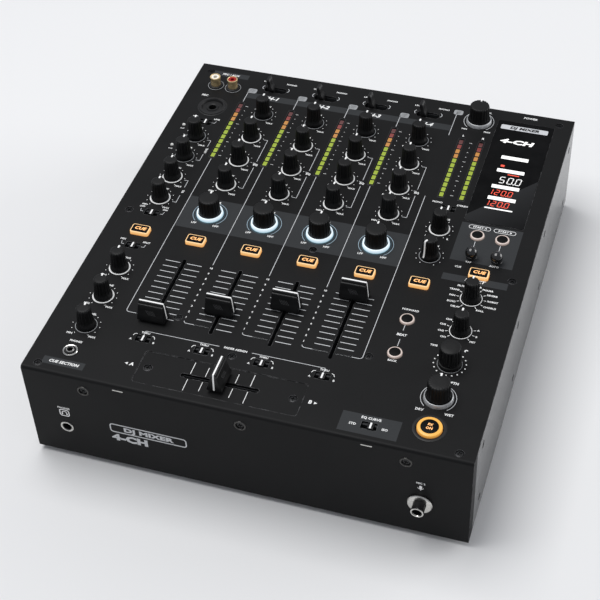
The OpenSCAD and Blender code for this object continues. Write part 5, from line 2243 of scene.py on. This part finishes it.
    def rotary_scales(self) -> None:
        """Ticks and names round the two effect selectors."""
        effects = ("DELAY", "ECHO", "PAN", "TRANS", "FILTER", "FLANGER", "PHASER", "REVERB", "ROBOT",
                   "CHORUS", "ROLL")
        channels = ("CH1", "CH2", "CH3", "CH4", "MIC", "", "", "A", "B", "MST")
        for names, y, span in ((effects, 220.8, 300.0), (channels, 254.0, 270.0)):
            centre = self.at(284.6, y)
            for k, name in enumerate(names):
                a = math.radians(90 + span / 2 - span * k / (len(names) - 1))
                reach = [(centre[0] + r * math.cos(a), centre[1] + r * math.sin(a)) for r in (9.0, 10.8)]
                if not name:
                    continue
                self.white.line(reach, 0.5)
                spot = (centre[0] + 11.6 * math.cos(a), centre[1] + 12.4 * math.sin(a))
                lean = math.cos(a)
                side = Align.CENTRE if abs(lean) < 0.2 else Align.LEFT if lean > 0 else Align.RIGHT
                self.white.word(name, spot, Lettering(2.2, 0.04), side)

    def faders(self) -> None:
        """The fader scales, which one rule repeats."""
        tick = Form()
        for side in (-1, 1):
            near, far = (-14.2, -2.7) if side < 0 else (2.7, 14.3)
            tick.stroke([(near, 0), (far, 0)], 0.55, -0.01, 0.04)
        top = self.frame.top
        points = [(*self.at(x, self.fader_top), top) for x in self.columns]
        self.repeat("fader_scales", tick, PALE_INK, "painted_top", points, pattern=Pattern.ROWS,
                    count=self.ticks, step=(0.0, -self.tick_step, 0.0))
        dot = Form()
        dot.lathe([(0.34, -0.01), (0.34, 0.04)], steps=12)
        columns = [(*self.at(x - self.divider + 5.4, 48.8), top) for x in self.columns] + [(*self.at(245.3,
                                                                                                     48.8),
                                                                                                     top)]
        self.repeat("meter_scales", dot, WHITE_INK, "painted_top", columns, pattern=Pattern.ROWS, count=12,
                    step=(0.0, -6.03, 0.0))
        for x, y, _z in columns:
            for k in (0, 4, 8, 11):
                self.white.line([(x - 1.1, y - 6.03 * k), (x + 1.1, y - 6.03 * k)], 0.4)

    def crossfader(self) -> None:
        """The crossfader's scale and letters on its plate, and the assign switches' line."""
        plate = Print(level(self.frame.span("crossfader_plate").high.z))
        for x, half in ((116.5, 13.2), (127.3, 11.0), (149.0, 11.0), (159.8, 13.2)):
            for side in (-1, 1):
                plate.line(self.path((x, 345.3 + side * 2.6), (x, 345.3 + side * half)), 0.45)
        self.add("crossfader_scale", plate, [WHITE_INK], slot="painted_top")
        self.words(Lettering(4.2, 0.035, 0.1), ("A", 74.2, 345.5), ("B", 203.0, 345.5))
        self.white.arrow(self.at(70.4, 345.5), 2.2, 90)
        self.white.arrow(self.at(206.8, 345.5), 2.2, -90)
        self.trace(self.pale, 0.4, (72.0, 319.0), (72.0, 313.4), (127.0, 313.4))
        self.trace(self.pale, 0.4, (151.0, 313.4), (204.0, 313.4), (204.0, 319.0))
        self.words(Lettering(2.5, 0.03), ("FADER ASSIGN", 139.0, 313.4))

    def microphone_side(self) -> None:
        """The left column: inputs, microphone, headphones."""
        self.words(MEDIUM, ("MIC / AUX", 28.5, 10.5))
        self.grey.ring(self.at(20.8, 27), 6.4, 6.8)
        self.grey.ring(self.at(36.0, 27), 6.4, 6.8)
        self.words(MEDIUM, ("MIC", 16.5, 42.5))
        for y, left, right in ((77.0, "MIC", "LINE"), (194.0, "OFF", "ON"), (232.5, "MIX", "SPLIT")):
            self.words(SMALL, (left, 28.2 - 9.2, y - 5.2), (right, 28.2 + 9.6, y - 5.2))
            for side in (-1, 1):
                hook = [(28.6 + side * 7.0, y), (28.6 + side * 9.0, y), (28.6 + side * 9.6, y - 2.8)]
                self.trace(self.pale, 0.35, *hook)
        for word, y in (("MIC", 85.6), ("AUX", 111.9), ("HIGH", 138.3), ("LOW", 164.7), ("MIXING", 246.3),
                        ("TONE", 277.0), ("LEVEL", 307.8)):
            self.words(SMALL, (word, 28.6, y))
        for y in (149.4, 175.8, 257.5, 288.2, 319.0, 96.7, 123.0):
            self.words(SMALL, ("MIN", 20.0, y + 10.2), ("MAX", 37.2, y + 10.2))
        for low, high, word in ((99.0, 125.5, "LEVEL"), (151.0, 178.0, "EQ")):
            middle = (low + high) / 2
            for start, stop in ((low, middle - 5), (middle + 5, high)):
                self.trace(self.pale, 0.4, (42.5, start), (42.5, stop))
            for end in (low + 0.2, high - 0.2):
                self.trace(self.pale, 0.4, (42.5, end), (39.2, end))
            self.white.word(word, self.at(43.2, middle), SMALL, turn=90)
        self.words(Lettering(1.7, 0.02), ("CLIP", 14.0, 89.6), ("CLIP", 14.0, 116.6))
        self.words(Lettering(3.4, 0.035, 0.2, 1.0), ("CUE SECTION", 28.2, 357.4))
        self.words(SMALL, ("PHONES", 28.1, 335.8))

    def master_side(self) -> None:
        """The master column: level, balance, booth, beat and curve."""
        self.words(SMALL, ("MASTER LEVEL", 245.3, 6.5))
        self.pale.ring(self.at(245.3, 19.3), 11.9, 12.3, -50, 230)
        self.words(SMALL, ("MIN", 236.0, 31.8), ("MAX", 254.6, 31.8))
        self.words(MEDIUM, ("L", 237.3, 40.8), ("R", 253.3, 40.8))
        self.words(SMALL, ("MONO", 236.6, 125.0), ("STEREO", 256.0, 125.0), ("BALANCE", 245.3, 142.9),
                   ("L", 237.0, 164.4), ("R", 253.6, 164.4), ("BOOTH", 245.3, 173.6))
        self.trace(self.pale, 0.45, (246.0, 258.5), (246.0, 264.5))
        self.trace(self.pale, 0.45, (246.0, 273.0), (246.0, 280.0))
        self.words(Lettering(3.0, 0.035, 0.1), ("BEAT", 246.0, 268.8))
        self.words(SMALL, ("FORWARD", 246.0, 243.6), ("BACK", 246.0, 294.2))
        self.words(Lettering(2.8, 0.032), ("EQ CURVE", 246.5, 348.6))
        self.words(Lettering(2.6, 0.032), ("STD", 235.4, 355.6), ("ISO", 257.4, 355.6))

    def effect_side(self) -> None:
        """The right column: power, quantize buttons and effects."""
        self.words(MEDIUM, ("POWER", 285.0, 5.6))
        for x, word, below in ((274.2, "START A", "TAP"), (293.2, "START B", "AUTO")):
            self.white.pill(self.at(x, 145.6), 16.4, 3.8, 0.4)
            self.words(Lettering(2.3, 0.035, 0.1, 1.15), (word, x, 145.6))
            self.trace(self.pale, 0.45, (x, 161.4), (x, 170.0))
            self.words(SMALL, (below, x, 184.4))
        self.words(HEADING, ("EFFECT", 283.0, 203.0))
        self.words(SMALL, ("CUE", 268.0, 191.0), ("TIME", 270.0, 272.4))
        self.words(Lettering(3.0, 0.032, 0.1), ("LEVEL / DEPTH", 284.6, 303.4))
        self.pale.ring(self.at(284.6, 318.8), 11.9, 12.3, -50, 230)
        self.words(Lettering(2.8, 0.032), ("DRY", 274.6, 331.8), ("WET", 294.8, 331.8))
        leaf = self.at(292.8, 272.2)
        self.white.ring(leaf, 0.5, 1.3, 20, 250)

    def front(self) -> None:
        """The front panel's symbols and words."""
        face = Print(upright(self.frame.front, True))
        phones, mic = self.at(26.9, 0)[0], self.at(285.5, 0)[0]
        frame_box = rounded(7.0, 6.2, 1.6, 4)
        face.line([(phones + x, 48.0 + y) for x, y in [*frame_box, frame_box[0]]], 0.8)
        face.ring((phones, 47.8), 1.4, 2.1, 0, 180)
        for side in (-1, 1):
            face.bar((phones + side * 1.8, 46.9), 1.1, 1.9, 0.4)
        face.word("PHONES", (phones, 53.0), SMALL)
        face.bar((mic, 53.6), 2.0, 3.6, 0.95)
        face.ring((mic, 53.4), 1.7, 2.05, 180, 360)
        face.line([(mic, 51.6), (mic, 50.4)], 0.4)
        face.word("MIC 2", (mic, 57.8), SMALL)
        self.add("front_print", face, [WHITE_INK], slot="painted_case")
        badge = Print(upright(self.frame.front, True))
        middle = self.at(90.0, 0)[0]
        edge = rounded(57.0, 8.0, 2.2, 5)
        badge.line([(middle + x, 43.6 + y) for x, y in [*edge, edge[0]]], 1.0)
        badge.word("DJ MIXER", (middle, 43.4), Lettering(5.8, 0.05, 0.0, 1.5))
        badge.word("4-CH", (middle - 28.0, 33.6), Lettering(8.6, 0.06, 0.0, 1.35), Align.LEFT)
        self.add("front_badge", badge, [PALE_INK], slot="painted_case")

    def rear(self) -> None:
        """The rear panel's words."""
        face = Print(upright(self.frame.rear, False))
        for c in CHANNELS:
            x = -self.at(58 + c * 34, 0)[0]
            face.word(f"CH-{c + 1}", (x, 74.0), MEDIUM)
            face.word("LINE", (x, 63.6), SMALL)
            face.word("PHONO", (x, 37.8), SMALL)
            face.line([(x - 14.5, 70.5), (x + 14.5, 70.5)], 0.4)
        for x, word in ((190.0, "BOOTH"), (208.0, "SEND"), (232.0, "MASTER"), (30.0, "GND")):
            face.word(word, (-self.at(x, 0)[0], 78.8 if x == 232.0 else 64.8), SMALL)
        face.word("POWER", (-self.at(285.0, 0)[0], 76.0), SMALL)
        face.word("AC IN", (-self.at(285.0, 0)[0], 12.6), SMALL)
        self.add("rear_print", face, [WHITE_INK], slot="painted_case")

    def build(self) -> None:
        """Prints the case."""
        self.strips()
        self.dials()
        self.faders()
        self.crossfader()
        self.microphone_side()
        self.master_side()
        self.effect_side()
        self.front()
        self.rear()
        for name, sheet, ink in (("white", self.white, WHITE_INK), ("pale", self.pale, PALE_INK),
                                 ("grey", self.grey, GREY_INK), ("blue", self.blue, BLUE_INK)):
            self.shop.add(f"panel_print_{name}", sheet.mesh(name), [ink], slot="painted_top")


# ---- Inside ----


@dataclass
class Insides(Maker):
    """The controls' housings, the circuit board and the power supply."""

    def build(self) -> None:
        """Dresses the units under the panel and fits the board with parts."""
        self.shop.dress("control_bodies", CONTROL_PLASTIC)
        self.shop.dress("circuit_board", BOARD)
        self.shop.dress("power_supply", SUPPLY)
        board = self.frame.solids("circuit_board")
        under = min(s.low.z for s in board if s.size.x > 250)
        can = Form()
        can.lathe([(2.5, 0), (2.5, -5.2), (2.3, -5.8), (1.9, -6.0), (1.9, -5.8)], steps=24)
        places = [(x, y, under) for x in range(-80, 30, 20) for y in (-100, -20, 60)]
        self.repeat("board_capacitors", can, SILVER_RING, "supply_parts", places)


# ---- Studio ----


@dataclass
class Studio:
    """A pale floor, soft lights and the camera."""

    camera_at: tuple[float, float, float] = (255.96, -767.44, 818.57)
    ahead: tuple[float, float, float] = (-0.23931, 0.67057, -0.70219)
    right: tuple[float, float, float] = (0.95276, 0.30147, -0.03682)
    lens: float = 87.07
    floor_size: float = 8.0

    def lamp(self, name: str, at: Sequence[float], aim: Sequence[float], size: float, power: float,
             tall: float) -> None:
        """Hangs a soft rectangular light.

        Args:
            name: Its name.
            at: Where it hangs, in metres.
            aim: What it faces.
            size: Its width.
            power: Its power in watts.
            tall: Its height.
        """
        light = bpy.data.lights.new(name, "AREA")
        light.shape = "RECTANGLE"
        light.size, light.size_y = size, tall
        light.energy = power
        holder = bpy.data.objects.new(name, light)
        holder.location = at
        holder.rotation_euler = (Vector(aim) - Vector(at)).to_track_quat("-Z", "Y").to_euler()
        bpy.context.scene.collection.objects.link(holder)

    def floor(self) -> None:
        """Lays the floor."""
        half = self.floor_size / 2
        mesh = bpy.data.meshes.new("studio_floor")
        mesh.from_pydata([(-half, -half, 0), (half, -half, 0), (half, half, 0), (-half, half, 0)], [],
                         [(0, 1, 2, 3)])
        made = bpy.data.materials.new("studio_floor")
        made.use_nodes = True
        shader = made.node_tree.nodes["Principled BSDF"]
        shader.inputs["Base Color"].default_value = (0.78, 0.78, 0.78, 1.0)
        shader.inputs["Roughness"].default_value = 0.9
        mesh.materials.append(made)
        floor = bpy.data.objects.new("studio_floor", mesh)
        bpy.context.scene.collection.objects.link(floor)
        floor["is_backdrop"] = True

    def camera(self) -> None:
        """Sets the camera up."""
        data = bpy.data.cameras.new("camera")
        data.lens = self.lens
        camera = bpy.data.objects.new("camera", data)
        ahead, right = Vector(self.ahead), Vector(self.right)
        up = right.cross(ahead)
        turn = Matrix((right, up, -ahead)).transposed().to_4x4()
        camera.matrix_world = Matrix.Translation(Vector(self.camera_at) * MM) @ turn
        bpy.context.scene.collection.objects.link(camera)
        bpy.context.scene.camera = camera

    def build(self) -> None:
        """Sets up the whole studio."""
        self.floor()
        self.camera()
        world = bpy.data.worlds.new("studio")
        world.use_nodes = True
        sky = world.node_tree.nodes["Background"]
        sky.inputs["Color"].default_value = (0.9, 0.93, 1.0, 1.0)
        sky.inputs["Strength"].default_value = 0.4
        bpy.context.scene.world = world
        self.lamp("key", (-0.5, 0.0, 1.9), (0, 0, 0.05), 1.5, 30.0, 1.1)
        self.lamp("side", (1.5, 0.9, 0.5), (0.1, 0.3, 0.0), 1.2, 14.0, 0.8)


def main() -> None:
    """Builds the mixer on its frame, then the studio round it."""
    logging.basicConfig(level=logging.INFO, format="%(name)s: %(message)s", stream=sys.stdout)
    bpy.context.scene.view_settings.view_transform = "Standard"
    frame = Frame()
    shop = Workshop(frame)
    for kind in (Case, Knobs, Faders, Selectors, Buttons, Switches, Lights, Display, Sockets, Legends,
                 Insides):
        LOG.info("building %s", kind.__name__)
        kind(shop).build()
    Studio().build()
    LOG.info("%d pieces made", len(shop.made))


if __name__ == "__main__":
    main()
